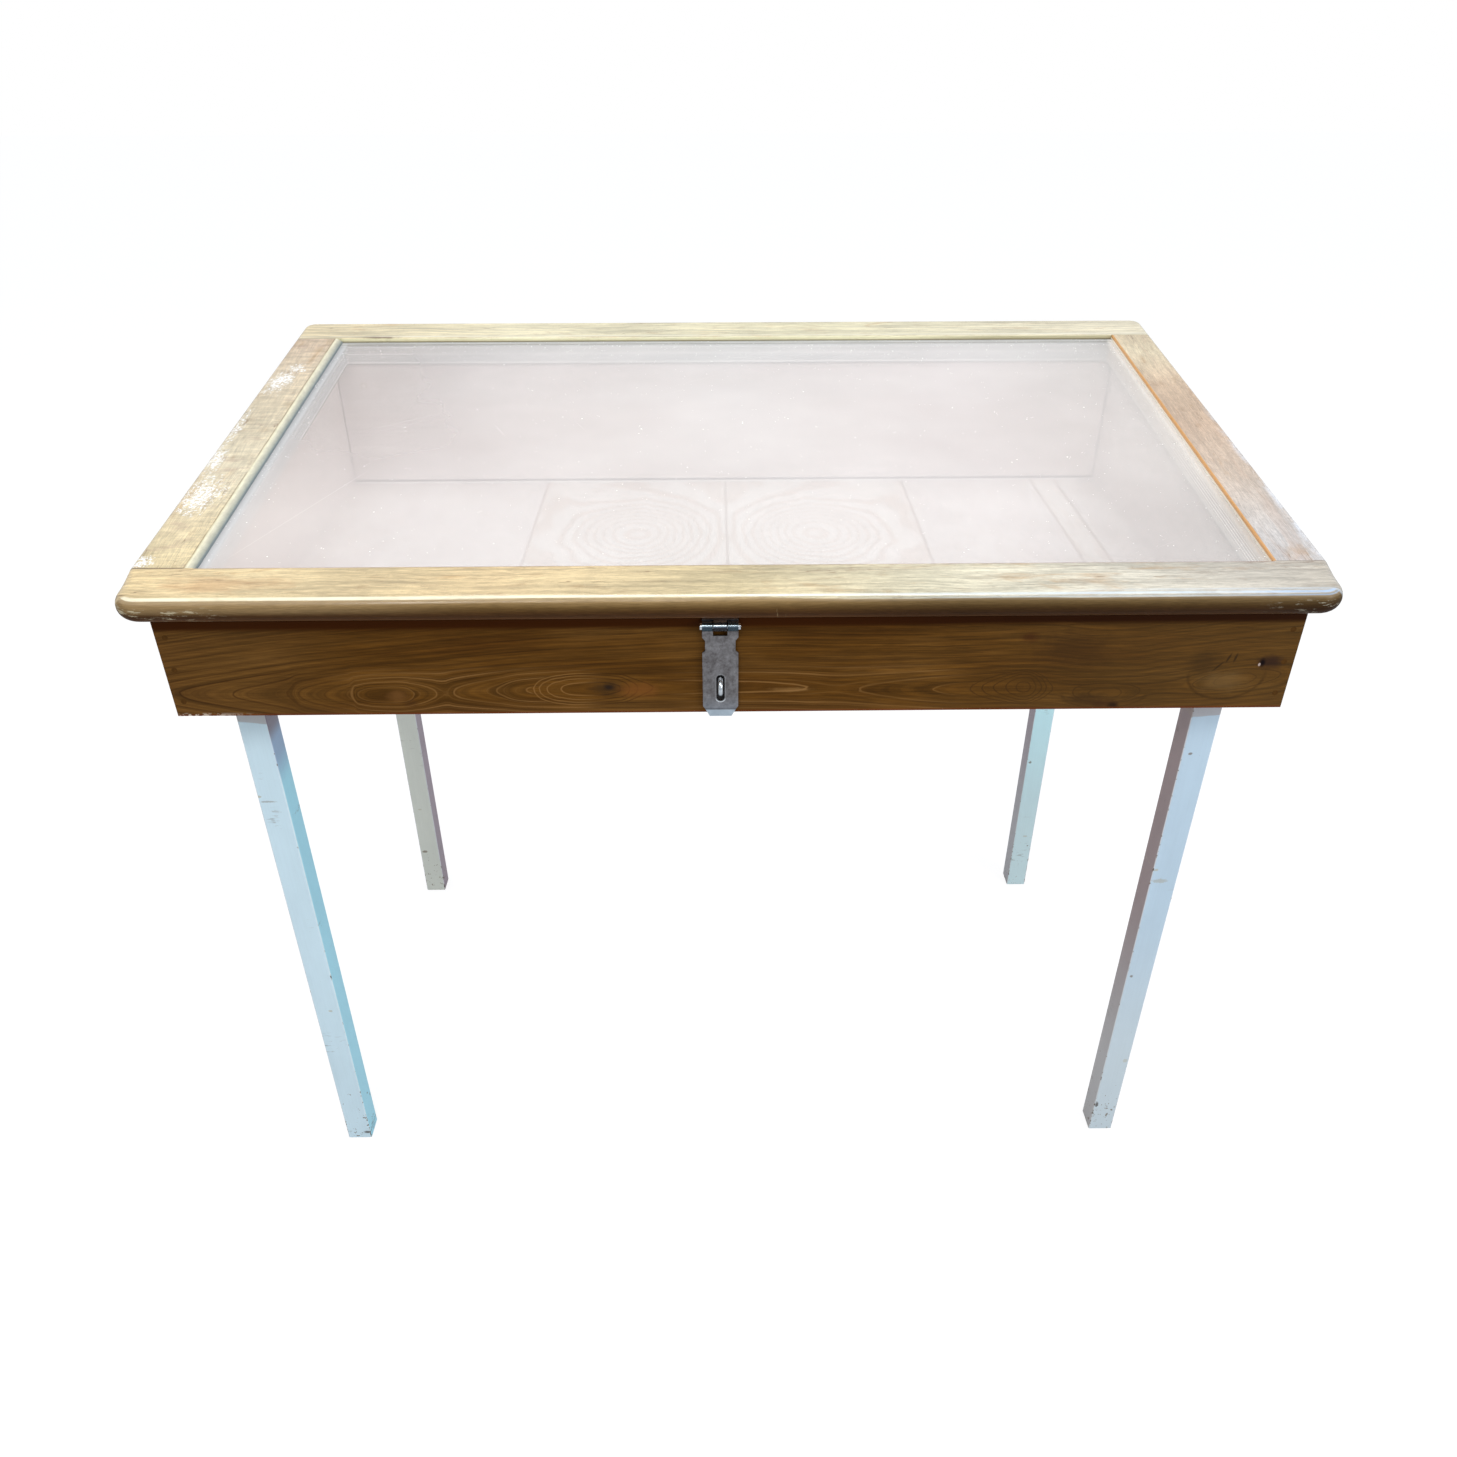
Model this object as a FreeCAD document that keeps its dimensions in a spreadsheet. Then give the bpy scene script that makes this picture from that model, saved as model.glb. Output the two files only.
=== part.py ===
import FreeCAD, Part
import math
import os
import Sketcher

V = FreeCAD.Vector
X_AXIS = V(1, 0, 0)
Y_AXIS = V(0, 1, 0)

# Driving dimensions, in millimetres and degrees

DIMENSIONS = {
    # lid frame
    "lid_width": 1200,
    "lid_length": 730,
    "lid_thick": 27,
    "lid_slope": 7.25,
    "lid_front_height": 874,
    "front_rail": 64,
    "back_rail": 60,
    "left_stile": 64.5,
    "right_stile": 55,
    "corner_round": 26,
    "back_corner_round": 15,
    "side_round": 6,
    "nose_flat": 0.3,
    "front_round": 1.5,
    "back_round": 3,
    "right_round": 1.2,
    "bead_width": 9.5,
    "bead_drop": 5,
    "lip_depth": 6,
    "rebate": 10,
    "tenon_length": 28,
    "tenon_thick": 9,
    "tenon_width": 28,
    "tenon_inset": 13,
    "mortise_play": 0.2,
    # glass and the rim that holds it up
    "glass_thick": 5,
    "glass_play": 1.5,
    "glass_bed": 0.3,
    "rim_thick": 11,
    "rim_play": 0.3,
    # case
    "overhang_side": 24,
    "overhang_front": 30,
    "overhang_back": 30.2,
    "wall": 20,
    "case_drop": 144,
    "joint_gap": 0.4,
    "floor_raise": 4,
    "floor_thick": 9,
    "floor_groove": 6,
    "floor_play": 0.2,
    "centre_board": 266,
    "right_strip": 36,
    "right_end_board": 58,
    # legs and what fastens them
    "leg": 32,
    "leg_inset_side": 36,
    "leg_inset_end": 48,
    "leg_arris": 1.5,
    "foot_chamfer": 1,
    "bearer_thick": 16,
    "bearer_end_gap": 10,
    "plate_size": 56,
    "plate_thick": 3,
    "plate_corner": 6,
    "plate_screw_inset": 8,
    "plate_screw_length": 13,
    "bolt_radius": 4,
    "bolt_depth": 34,
    "bolt_top_gap": 1,
    "bearer_screw_length": 22,
    # wood screws and nails
    "screw_radius": 1.75,
    "screw_head": 3.5,
    "screw_cone": 2,
    "nail_radius": 1.4,
    "nail_head": 3,
    "nail_head_thick": 1,
    "nail_length": 50,
    "nail_margin": 22,
    "rim_screw_length": 22,
    # butt hinges
    "hinge_length": 70,
    "hinge_reach": 17,
    "hinge_thick": 2,
    "hinge_knuckle": 4,
    "hinge_pin": 2,
    "hinge_pin_head": 1.2,
    "hinge_stand_off": 1.2,
    "hinge_inset": 190,
    "hinge_screw_length": 15,
    "hinge_screw_head": 2.9,
    "running_fit": 0.05,
    "knuckle_gap": 0.3,
    "leaf_clear": 0.5,
    # hasp
    "hasp_x": -12,
    "hasp_width": 36.4,
    "hasp_thick": 2.2,
    "hasp_knuckle": 4.9,
    "hasp_centre_knuckle": 14,
    "hasp_pin": 2.5,
    "hasp_pin_out": 2,
    "hasp_leaf_depth": 18,
    "hasp_leaf_screw_x": 11.5,
    "hasp_play": 0.5,
    "hasp_window": 12,
    "hasp_wing": 13.8,
    "hasp_waist_top": 17.4,
    "hasp_waist_bottom": 29,
    "hasp_waist_end": 31.3,
    "hasp_waist_cut": 2.9,
    "hasp_tip_start": 94,
    "hasp_lip_start": 96.8,
    "hasp_length": 104,
    "hasp_lip_out": 3,
    "hasp_tip_width": 22.4,
    "slot_top": 56.8,
    "slot_bottom": 88.1,
    "slot_width": 8.6,
    # staple
    "staple_drop": 68.4,
    "staple_wire": 2.5,
    "staple_half": 7.5,
    "staple_out": 7.4,
    "staple_sink": 12,
    "staple_plate_width": 28,
    "staple_plate_height": 38,
    "staple_thick": 2,
    "staple_screw_x": 9,
    "staple_screw_z": 14.5,
    "staple_screw_length": 14,
}

# Sizes that follow from the ones above

DERIVED = {
    "case_depth": "lid_length * cos(lid_slope * 1deg) - overhang_front - overhang_back",
    "board_bottom": "lid_front_height - case_drop",
}

HINGE_KNUCKLES = 5
SMALL = 0.0001
SCREW_ROW_SHARE = 0.55

doc = FreeCAD.newDocument("display_table")
sheet = doc.addObject("Spreadsheet::Sheet", "sheet")
for row, (alias, number) in enumerate(DIMENSIONS.items(), start=1):
    sheet.set("A%d" % row, alias)
    sheet.set("B%d" % row, str(number))
    sheet.setAlias("B%d" % row, alias)
doc.recompute()

finished = []


def ex(text):
    """Write the sheet's name before each alias of an expression."""
    words, word = [], ""
    for mark in text + " ":
        if mark.isalnum() or mark == "_":
            word += mark
            continue
        if word in DERIVED:
            words.append("(" + ex(DERIVED[word]) + ")")
        else:
            words.append("sheet." + word if word in DIMENSIONS else word)
        words.append(mark)
        word = ""
    return "".join(words).strip()


def val(text):
    """Give the number that an expression of named sizes comes to."""
    answer = sheet.evalExpression(ex(text))
    return float(getattr(answer, "Value", answer))


# Places that several pieces share, as expressions of the named sizes

SIN = "sin(lid_slope * 1deg)"
COS = "cos(lid_slope * 1deg)"
TAN = "tan(lid_slope * 1deg)"
NOSE = "((lid_thick - nose_flat) / 2)"
NOSE_REACH = "(%s * (%s + %s - 1))" % (NOSE, COS, SIN)
LID_BACK = "((lid_length - side_round) * %s + (lid_thick - side_round) * %s + side_round)" % (COS, SIN)
LID_Y = "(0 - (%s + %s) / 2)" % (NOSE_REACH, LID_BACK)
CASE_WIDTH = "(lid_width - 2 * overhang_side)"
CASE_Y = "(%s + overhang_front)" % LID_Y
UNDERSIDE = "(lid_thick + rim_thick)"
JOINT = "(lid_thick + rim_thick + joint_gap)"
RIM_FRONT = "((overhang_front - %s * %s) / %s)" % (UNDERSIDE, SIN, COS)
RIM_BACK = "((overhang_front + case_depth - %s * %s) / %s)" % (UNDERSIDE, SIN, COS)
STILE_LENGTH = "(lid_length - front_rail - back_rail)"
OPENING_WIDTH = "(lid_width - left_stile - right_stile)"
TONGUE_TOP = "(lip_depth + glass_thick + glass_bed)"
FLOOR_BOTTOM = "(board_bottom + floor_raise)"
FLOOR_DEPTH = "(case_depth - 2 * wall + 2 * floor_groove - 2 * floor_play)"
BEARER_BOTTOM = "(%s - bearer_thick)" % FLOOR_BOTTOM
PLATE_BOTTOM = "(%s - plate_thick)" % BEARER_BOTTOM
LEG_CENTRE_SIDE = "(leg_inset_side + leg / 2)"
LEG_CENTRE_END = "(leg_inset_end + leg / 2)"
BEARER_WIDTH = "(2 * (%s - wall))" % LEG_CENTRE_SIDE
HINGE_S = "(%s + hinge_knuckle + hinge_stand_off)" % RIM_BACK
HINGE_N = "(%s + joint_gap / 2)" % UNDERSIDE
HASP_N = "(%s + hasp_knuckle)" % UNDERSIDE
HASP_OUT = "(staple_thick + hasp_play + hasp_knuckle)"
HASP_S = "((overhang_front - %s - %s * %s) / %s)" % (HASP_OUT, HASP_N, SIN, COS)
HASP_DROP = "(%s * %s - %s * %s)" % (HASP_N, COS, HASP_S, SIN)
HASP_SIDE_KNUCKLE = "((hasp_width - hasp_centre_knuckle) / 2 - knuckle_gap)"


def board_top(behind):
    """Height of the sloped top edge over the boards' bottom, at a distance behind the case's front."""
    rise = "(overhang_front + %s) * %s" % (behind, TAN)
    return "(lid_front_height - board_bottom + %s - %s / %s)" % (rise, JOINT, COS)


def lid_place(across="0", along="0", over="0"):
    """Placement in the sloped frame of the lid: across, up the slope and square to it."""
    tilt = FreeCAD.Rotation(X_AXIS, val("lid_slope"))
    lid = FreeCAD.Placement(V(0, val(LID_Y), val("lid_front_height")), tilt)
    return lid.multiply(FreeCAD.Placement(V(val(across), val(along), val(over)), FreeCAD.Rotation()))


def case_place(across="0", behind="0", height="board_bottom"):
    """Placement square to the floor, from the case's left front corner."""
    corner_x = "(0 - %s / 2 + %s)" % (CASE_WIDTH, across)
    return FreeCAD.Placement(V(val(corner_x), val("%s + %s" % (CASE_Y, behind)), val(height)),
                             FreeCAD.Rotation())


# Small tools that build and check features

def volume_of(body):
    return 0 if body.Shape.isNull() else body.Shape.Volume


def new_body(label, placement):
    body = doc.addObject("PartDesign::Body", label)
    body.Label = label
    body.Placement = placement
    finished.append(body)
    return body


def origin_plane(body, role):
    return [item for item in body.Origin.OriginFeatures if item.Role == role][0]


def bind(item, **sizes):
    for name, text in sizes.items():
        setattr(item, name, val(text))
        item.setExpression(name, ex(text))


def new_sketch(body, role, lift="0"):
    sketch = body.newObject("Sketcher::SketchObject", body.Label + "_sketch")
    sketch.AttachmentSupport = [(origin_plane(body, role), "")]
    sketch.MapMode = "FlatFace"
    sketch.AttachmentOffset = FreeCAD.Placement(V(0, 0, val(lift)), FreeCAD.Rotation())
    sketch.setExpression("AttachmentOffset.Base.z", ex(lift))
    return sketch


def hold(sketch, kind, first, first_end, second, second_end, text):
    """Hold one point of a sketch at a named distance from another."""
    number = val(text)
    if abs(number) < SMALL:
        same = "Vertical" if kind == "DistanceX" else "Horizontal"
        sketch.addConstraint(Sketcher.Constraint(same, first, first_end, second, second_end))
        return
    index = sketch.addConstraint(
        Sketcher.Constraint(kind, first, first_end, second, second_end, number))
    sketch.setExpression("Constraints[%d]" % index, ex(text))


def draw_outline(sketch, points):
    """Draw a closed outline through points given as pairs of expressions."""
    places = [V(val(across), val(up), 0) for across, up in points]
    count = len(places)
    lines = [sketch.addGeometry(Part.LineSegment(places[k], places[(k + 1) % count]), False)
             for k in range(count)]
    for k, line in enumerate(lines):
        sketch.addConstraint(Sketcher.Constraint("Coincident", line, 2, lines[(k + 1) % count], 1))
    for line, (across, up) in zip(lines, points):
        hold(sketch, "DistanceX", -1, 1, line, 1, across)
        hold(sketch, "DistanceY", -1, 1, line, 1, up)


def draw_circle(sketch, across, up, radius):
    centre = V(val(across), val(up), 0)
    circle = sketch.addGeometry(Part.Circle(centre, V(0, 0, 1), val(radius)), False)
    hold(sketch, "DistanceX", -1, 1, circle, 3, across)
    hold(sketch, "DistanceY", -1, 1, circle, 3, up)
    index = sketch.addConstraint(Sketcher.Constraint("Radius", circle, val(radius)))
    sketch.setExpression("Constraints[%d]" % index, ex(radius))


def pad(body, sketch, length, backwards=False):
    feature = body.newObject("PartDesign::Pad", body.Label + "_pad")
    feature.Profile = sketch
    feature.Reversed = backwards
    bind(feature, Length=length)
    sketch.Visibility = False
    doc.recompute()
    return feature


def pocket(body, sketch, length, backwards=False):
    """Cut a sketch into the body, and check that the cut takes something away."""
    before = volume_of(body)
    feature = body.newObject("PartDesign::Pocket", body.Label + "_pocket")
    feature.Profile = sketch
    feature.Reversed = backwards
    bind(feature, Length=length)
    doc.recompute()
    if not volume_of(body) < before:
        raise RuntimeError("a pocket of %s cuts nothing" % body.Label)
    return feature


def block(body, kind, at, size, tilt=None):
    """Add or cut a rectangular block: kind is Additive or Subtractive."""
    before = volume_of(body)
    feature = body.newObject("PartDesign::%sBox" % kind, body.Label + "_block")
    bind(feature, Length=size[0], Width=size[1], Height=size[2])
    place_primitive(feature, at, tilt)
    check_change(body, kind, before)
    return feature


def rod(body, kind, at, radius, length, tilt=None):
    """Add or cut a cylinder: kind is Additive or Subtractive."""
    before = volume_of(body)
    feature = body.newObject("PartDesign::%sCylinder" % kind, body.Label + "_rod")
    bind(feature, Radius=radius, Height=length)
    place_primitive(feature, at, tilt)
    check_change(body, kind, before)
    return feature


def place_primitive(feature, at, tilt):
    turn = tilt or FreeCAD.Rotation()
    feature.AttachmentOffset = FreeCAD.Placement(V(*[val(text) for text in at]), turn)
    for axis, text in zip("xyz", at):
        feature.setExpression("AttachmentOffset.Base." + axis, ex(text))
    feature.AttachmentSupport = [(origin_plane(feature.getParentGeoFeatureGroup(), "XY_Plane"), "")]
    feature.MapMode = "FlatFace"
    doc.recompute()


def check_change(body, kind, before):
    after = volume_of(body)
    if kind == "Additive" and not after > before:
        raise RuntimeError("a piece of %s adds nothing" % body.Label)
    if kind == "Subtractive" and not after < before:
        raise RuntimeError("a cut of %s takes nothing" % body.Label)


def edges_where(body, test):
    """Name the edges of a body whose end points all pass a test."""
    shape = body.Tip.Shape
    return ["Edge%d" % (k + 1) for k, edge in enumerate(shape.Edges)
            if all(test(vertex.Point) for vertex in edge.Vertexes)]


def round_edges(body, test, radius):
    return fillet(body, edges_where(body, test), radius)


def fillet(body, names, radius):
    if not names:
        raise RuntimeError("no edge to round on %s" % body.Label)
    base = body.Tip
    before = volume_of(body)
    feature = body.newObject("PartDesign::Fillet", body.Label + "_round")
    feature.Base = (base, names)
    bind(feature, Radius=radius)
    doc.recompute()
    if not volume_of(body) < before:
        raise RuntimeError("a rounding of %s takes nothing" % body.Label)
    return feature


def bevel_edges(body, test, size):
    names = edges_where(body, test)
    if not names:
        raise RuntimeError("no edge to bevel on %s" % body.Label)
    base = body.Tip
    feature = body.newObject("PartDesign::Chamfer", body.Label + "_bevel")
    feature.Base = (base, names)
    bind(feature, Size=size)
    doc.recompute()
    return feature


def near(number, text):
    return abs(number - val(text)) < SMALL


ALONG_X = FreeCAD.Rotation(Y_AXIS, 90)
UPSIDE_DOWN = FreeCAD.Rotation(X_AXIS, 180)
TOWARDS_BACK = FreeCAD.Rotation(X_AXIS, -90)


def group(label, solids):
    """One node for identical fasteners, each of them a solid of its own."""
    item = doc.addObject("Part::Feature", label)
    item.Label = label
    item.Shape = Part.makeCompound(solids)
    item.Placement = FreeCAD.Placement()
    finished.append(item)
    return item


def countersunk_screw(place, length, head=None):
    """A wood screw whose flat head lies at the placement, driven along its negative z."""
    shank = val("screw_radius")
    wide = val(head or "screw_head")
    deep = val("screw_cone")
    cone = Part.makeCone(wide, shank, deep, V(0, 0, 0), V(0, 0, -1))
    straight = Part.makeCylinder(shank, val(length) - deep, V(0, 0, -deep), V(0, 0, -1))
    solid = cone.fuse(straight).removeSplitter()
    solid.Placement = place
    return solid


# Lid frame: two rails run the full width and the stiles are tenoned between them

def mortises(body, into):
    """Two mortises in a rail, cut from its inner edge."""
    for start in ("tenon_inset", "lid_width - tenon_inset - tenon_width"):
        block(body, "Subtractive",
              ("%s - mortise_play" % start, into, "0 - lip_depth - tenon_thick - mortise_play"),
              ("tenon_width + 2 * mortise_play", "tenon_length + mortise_play",
               "tenon_thick + 2 * mortise_play"))


def glass_rebate(body, at, size):
    """The rebate that the glass goes into from below, under the lip."""
    block(body, "Subtractive", (at[0], at[1], "0 - lid_thick"),
          (size[0], size[1], "lid_thick - lip_depth"))


def rounded_rail_edge(body, corner_y, centre_y, radius):
    """The rounded upper edge of a rail, only between the stiles."""
    level = "0 - %s" % radius
    block(body, "Subtractive", ("left_stile", corner_y, level), (OPENING_WIDTH, radius, radius))
    rod(body, "Additive", ("left_stile", centre_y, level), radius, OPENING_WIDTH, ALONG_X)


def lid_rail(label, width, along, front):
    body = new_body(label, lid_place("0 - lid_width / 2", along))
    outline = new_sketch(body, "XY_Plane")
    draw_outline(outline, [("0", "0"), ("lid_width", "0"), ("lid_width", width), ("0", width)])
    pad(body, outline, "lid_thick", backwards=True)

    def at_end(point):
        return near(point.x, "0") or near(point.x, "lid_width")

    outer = "0" if front else width
    corners = []
    for k, edge in enumerate(body.Tip.Shape.Edges):
        ends = [vertex.Point for vertex in edge.Vertexes]
        upright = abs(ends[0].z - ends[-1].z) > SMALL
        if upright and all(at_end(p) and near(p.y, outer) for p in ends):
            corners.append("Edge%d" % (k + 1))
    fillet(body, corners, "corner_round" if front else "back_corner_round")

    if not front:
        names = []
        for k, edge in enumerate(body.Tip.Shape.Edges):
            ends = [vertex.Point for vertex in edge.Vertexes]
            flat = abs(ends[0].z - ends[-1].z) < SMALL
            if flat and not all(near(p.y, "0") for p in ends):
                names.append("Edge%d" % (k + 1))
        fillet(body, names, "side_round")

    rebate_at = "left_stile - rebate"
    rebate_long = "%s + 2 * rebate" % OPENING_WIDTH
    if front:
        edge_at = "front_rail - front_round"
        rounded_rail_edge(body, edge_at, edge_at, "front_round")
        glass_rebate(body, (rebate_at, "front_rail - rebate"), (rebate_long, "rebate"))
        mortises(body, "front_rail - tenon_length - mortise_play")
    else:
        rounded_rail_edge(body, "0", "back_round", "back_round")
        glass_rebate(body, (rebate_at, "0"), (rebate_long, "rebate"))
        mortises(body, "0")
    return body


def nose_rail(body):
    """Round a finished rail: a full nose along the front, easing off to the stiles' rounding."""
    label = body.Label
    square = label + "_square"
    body.Label = square
    nose = val(NOSE)
    eased = val("side_round")
    to_local = body.Placement.inverse()
    rows = []
    for level in ("0", "0 - lid_thick"):
        for end in ("0", "lid_width"):
            for k, edge in enumerate(body.Shape.Edges):
                ends = [edge.valueAt(edge.FirstParameter), edge.valueAt(edge.LastParameter)]
                ends = [to_local.multVec(point) for point in ends]
                if all(near(p.x, end) and near(p.z, level) for p in ends):
                    outwards = ends[1].y > ends[0].y
                    if end == "0":
                        first, last = (nose, eased) if outwards else (eased, nose)
                        rows.append((k + 1, first, last))
                    else:
                        rows.append((k + 1, rows[-1][2], rows[-1][1]))
    item = doc.addObject("Part::Fillet", label)
    item.Label = label
    item.Base = body
    item.Edges = rows
    doc.recompute()
    finished[finished.index(body)] = item
    return item


def stile_bead(body):
    """The broad rounded bead along the left stile's inner edge."""
    sketch = new_sketch(body, "XZ_Plane")
    sketch.AttachmentOffset = FreeCAD.Placement()
    run = val("bead_width")
    drop = val("bead_drop")
    edge = V(val("left_stile"), 0, 0)
    radius = (run * run + drop * drop) / (drop + drop)
    start = V(edge.x - run, 0, 0)
    end = V(edge.x, -drop, 0)
    circle = Part.Circle(V(start.x, -radius, 0), V(0, 0, 1), radius)
    reach = math.acos(run / radius)
    arc = sketch.addGeometry(Part.ArcOfCircle(circle, reach, math.pi / 2), False)
    top = sketch.addGeometry(Part.LineSegment(start, edge), False)
    side = sketch.addGeometry(Part.LineSegment(edge, end), False)
    sketch.addConstraint(Sketcher.Constraint("Coincident", arc, 2, top, 1))
    sketch.addConstraint(Sketcher.Constraint("Coincident", top, 2, side, 1))
    sketch.addConstraint(Sketcher.Constraint("Coincident", side, 2, arc, 1))
    hold(sketch, "DistanceX", -1, 1, side, 1, "left_stile")
    hold(sketch, "DistanceY", -1, 1, side, 1, "0")
    hold(sketch, "DistanceX", -1, 1, top, 1, "left_stile - bead_width")
    hold(sketch, "DistanceY", -1, 1, top, 1, "0")
    hold(sketch, "DistanceX", -1, 1, side, 2, "left_stile")
    hold(sketch, "DistanceY", -1, 1, side, 2, "0 - bead_drop")
    index = sketch.addConstraint(Sketcher.Constraint("Radius", arc, radius))
    sketch.setExpression("Constraints[%d]" % index,
                         ex("(bead_width * bead_width + bead_drop * bead_drop) / (2 * bead_drop)"))
    pocket(body, sketch, STILE_LENGTH)


def lid_stile(label, left):
    wide = "left_stile" if left else "right_stile"
    start = "0 - lid_width / 2" if left else "lid_width / 2 - right_stile"
    body = new_body(label, lid_place(start, "front_rail"))
    outline = new_sketch(body, "XY_Plane")
    draw_outline(outline, [("0", "0"), (wide, "0"), (wide, STILE_LENGTH), ("0", STILE_LENGTH)])
    pad(body, outline, "lid_thick", backwards=True)
    outer = "0" if left else wide
    names = []
    for k, edge in enumerate(body.Tip.Shape.Edges):
        ends = [vertex.Point for vertex in edge.Vertexes]
        runs_along = abs(ends[0].y - ends[-1].y) > SMALL
        if runs_along and all(near(p.x, outer) for p in ends):
            names.append("Edge%d" % (k + 1))
    fillet(body, names, "side_round")
    if left:
        stile_bead(body)
    else:
        round_edges(body, lambda p: near(p.x, "0") and near(p.z, "0"), "right_round")
    glass_rebate(body, ("left_stile - rebate" if left else "0", "0"), ("rebate", STILE_LENGTH))
    tenon_x = "tenon_inset" if left else "right_stile - tenon_inset - tenon_width"
    for tenon_y in ("0 - tenon_length", STILE_LENGTH):
        block(body, "Additive", (tenon_x, tenon_y, "0 - lip_depth - tenon_thick"),
              ("tenon_width", "tenon_length", "tenon_thick"))
    return body


# Screws: one seat tool serves plates, rims and the wood behind them

def cut_screw_holes(body, places, length, head="screw_head", headed=True):
    """Cut the holes of countersunk screws into one body; a thin plate takes only the heads."""
    inverse = body.Placement.inverse()
    for place in places:
        local = inverse.multiply(place)
        if headed:
            before = volume_of(body)
            cone = body.newObject("PartDesign::SubtractiveCone", body.Label + "_seat")
            bind(cone, Radius1="screw_radius", Radius2=head, Height="screw_cone")
            sink = FreeCAD.Placement(V(0, 0, -val("screw_cone")), FreeCAD.Rotation())
            attach_at(cone, local.multiply(sink))
            check_change(body, "Subtractive", before)
        if length is None:
            continue
        before = volume_of(body)
        hole = body.newObject("PartDesign::SubtractiveCylinder", body.Label + "_hole")
        bind(hole, Radius="screw_radius", Height=length)
        sink = FreeCAD.Placement(V(0, 0, -val(length)), FreeCAD.Rotation())
        attach_at(hole, local.multiply(sink))
        check_change(body, "Subtractive", before)


def attach_at(feature, placement):
    feature.AttachmentSupport = [(origin_plane(feature.getParentGeoFeatureGroup(), "XY_Plane"), "")]
    feature.MapMode = "FlatFace"
    feature.AttachmentOffset = placement
    doc.recompute()


front_rail = lid_rail("lid_front_rail", "front_rail", "0", True)
back_rail = lid_rail("lid_back_rail", "back_rail", "lid_length - back_rail", False)
left_stile = lid_stile("lid_left_stile", True)
right_stile = lid_stile("lid_right_stile", False)

# Glass pane, laid against the lip from below

glass_x = "0 - lid_width / 2 + left_stile - rebate + glass_play"
glass_s = "front_rail - rebate + glass_play"
glass = new_body("glass_pane", lid_place(glass_x, glass_s, "0 - lip_depth - glass_thick"))
block(glass, "Additive", ("0", "0", "0"),
      ("%s + 2 * rebate - 2 * glass_play" % OPENING_WIDTH,
       "%s + 2 * rebate - 2 * glass_play" % STILE_LENGTH, "glass_thick"))

# Rim under the frame: flat strips with a tongue that holds the glass up against the lip

RIM_LEFT = "(0 - %s / 2)" % CASE_WIDTH
TONGUE_WIDTH = "(rebate - rim_play)"
TONGUE_HEIGHT = "(lid_thick - %s)" % TONGUE_TOP
TONGUE_LENGTH = "(%s + 2 * rebate - 2 * rim_play)" % OPENING_WIDTH
BACK_EDGE = "(lid_length - back_rail)"


def rim_along_x(label, start, wide, tongue_at):
    body = new_body(label, lid_place(RIM_LEFT, start, "0 - %s" % UNDERSIDE))
    block(body, "Additive", ("0", "0", "0"), (CASE_WIDTH, wide, "rim_thick"))
    tongue_x = "left_stile - overhang_side - rebate + rim_play"
    block(body, "Additive", (tongue_x, tongue_at, "rim_thick"),
          (TONGUE_LENGTH, TONGUE_WIDTH, TONGUE_HEIGHT))
    return body


def rim_along_slope(label, left):
    wide = "(left_stile - overhang_side)" if left else "(right_stile - overhang_side)"
    start_x = RIM_LEFT if left else "(0 - %s) - %s" % (RIM_LEFT, wide)
    body = new_body(label, lid_place(start_x, "front_rail", "0 - %s" % UNDERSIDE))
    block(body, "Additive", ("0", "0", "0"), (wide, STILE_LENGTH, "rim_thick"))
    tongue_x = "%s - rebate + rim_play" % wide if left else "0"
    block(body, "Additive", (tongue_x, "0", "rim_thick"),
          (TONGUE_WIDTH, STILE_LENGTH, TONGUE_HEIGHT))
    return body


rim_front = rim_along_x("rim_front", RIM_FRONT, "front_rail - %s" % RIM_FRONT,
                        "front_rail - %s - rebate + rim_play" % RIM_FRONT)
rim_back = rim_along_x("rim_back", BACK_EDGE, "%s - %s" % (RIM_BACK, BACK_EDGE), "0")
rim_left = rim_along_slope("rim_left", True)
rim_right = rim_along_slope("rim_right", False)

# Case boards: front and back run full width, the sides are wedges between them

front_board = new_body("front_board", case_place())
outline = new_sketch(front_board, "YZ_Plane")
draw_outline(outline, [("0", "0"), ("wall", "0"), ("wall", board_top("wall")),
                       ("0", board_top("0"))])
pad(front_board, outline, CASE_WIDTH)

back_board = new_body("back_board", case_place(behind="case_depth - wall"))
outline = new_sketch(back_board, "YZ_Plane")
draw_outline(outline, [("0", "0"), ("wall", "0"), ("wall", board_top("case_depth")),
                       ("0", board_top("(case_depth - wall)"))])
pad(back_board, outline, CASE_WIDTH)

SIDE_LENGTH = "(case_depth - 2 * wall)"


def side_board(label, across):
    body = new_body(label, case_place(across=across, behind="wall"))
    wedge = new_sketch(body, "YZ_Plane")
    draw_outline(wedge, [("0", "0"), (SIDE_LENGTH, "0"),
                         (SIDE_LENGTH, board_top("(case_depth - wall)")), ("0", board_top("wall"))])
    pad(body, wedge, "wall")
    return body


left_side = side_board("left_side_board", "0")
right_side = side_board("right_side_board", "(%s - wall)" % CASE_WIDTH)

# Grooves that the floor boards slide into

GROOVE_HEIGHT = "(floor_thick + floor_play)"
GROOVE_LENGTH = "(%s - 2 * wall + 2 * floor_groove)" % CASE_WIDTH
block(front_board, "Subtractive", ("wall - floor_groove", "wall - floor_groove", "floor_raise"),
      (GROOVE_LENGTH, "floor_groove", GROOVE_HEIGHT))
block(back_board, "Subtractive", ("wall - floor_groove", "0", "floor_raise"),
      (GROOVE_LENGTH, "floor_groove", GROOVE_HEIGHT))
block(left_side, "Subtractive", ("wall - floor_groove", "0", "floor_raise"),
      ("floor_groove", SIDE_LENGTH, GROOVE_HEIGHT))
block(right_side, "Subtractive", ("0", "0", "floor_raise"),
      ("floor_groove", SIDE_LENGTH, GROOVE_HEIGHT))

# Floor: boards that run from front to back, two broad ones matched about the middle

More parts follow.
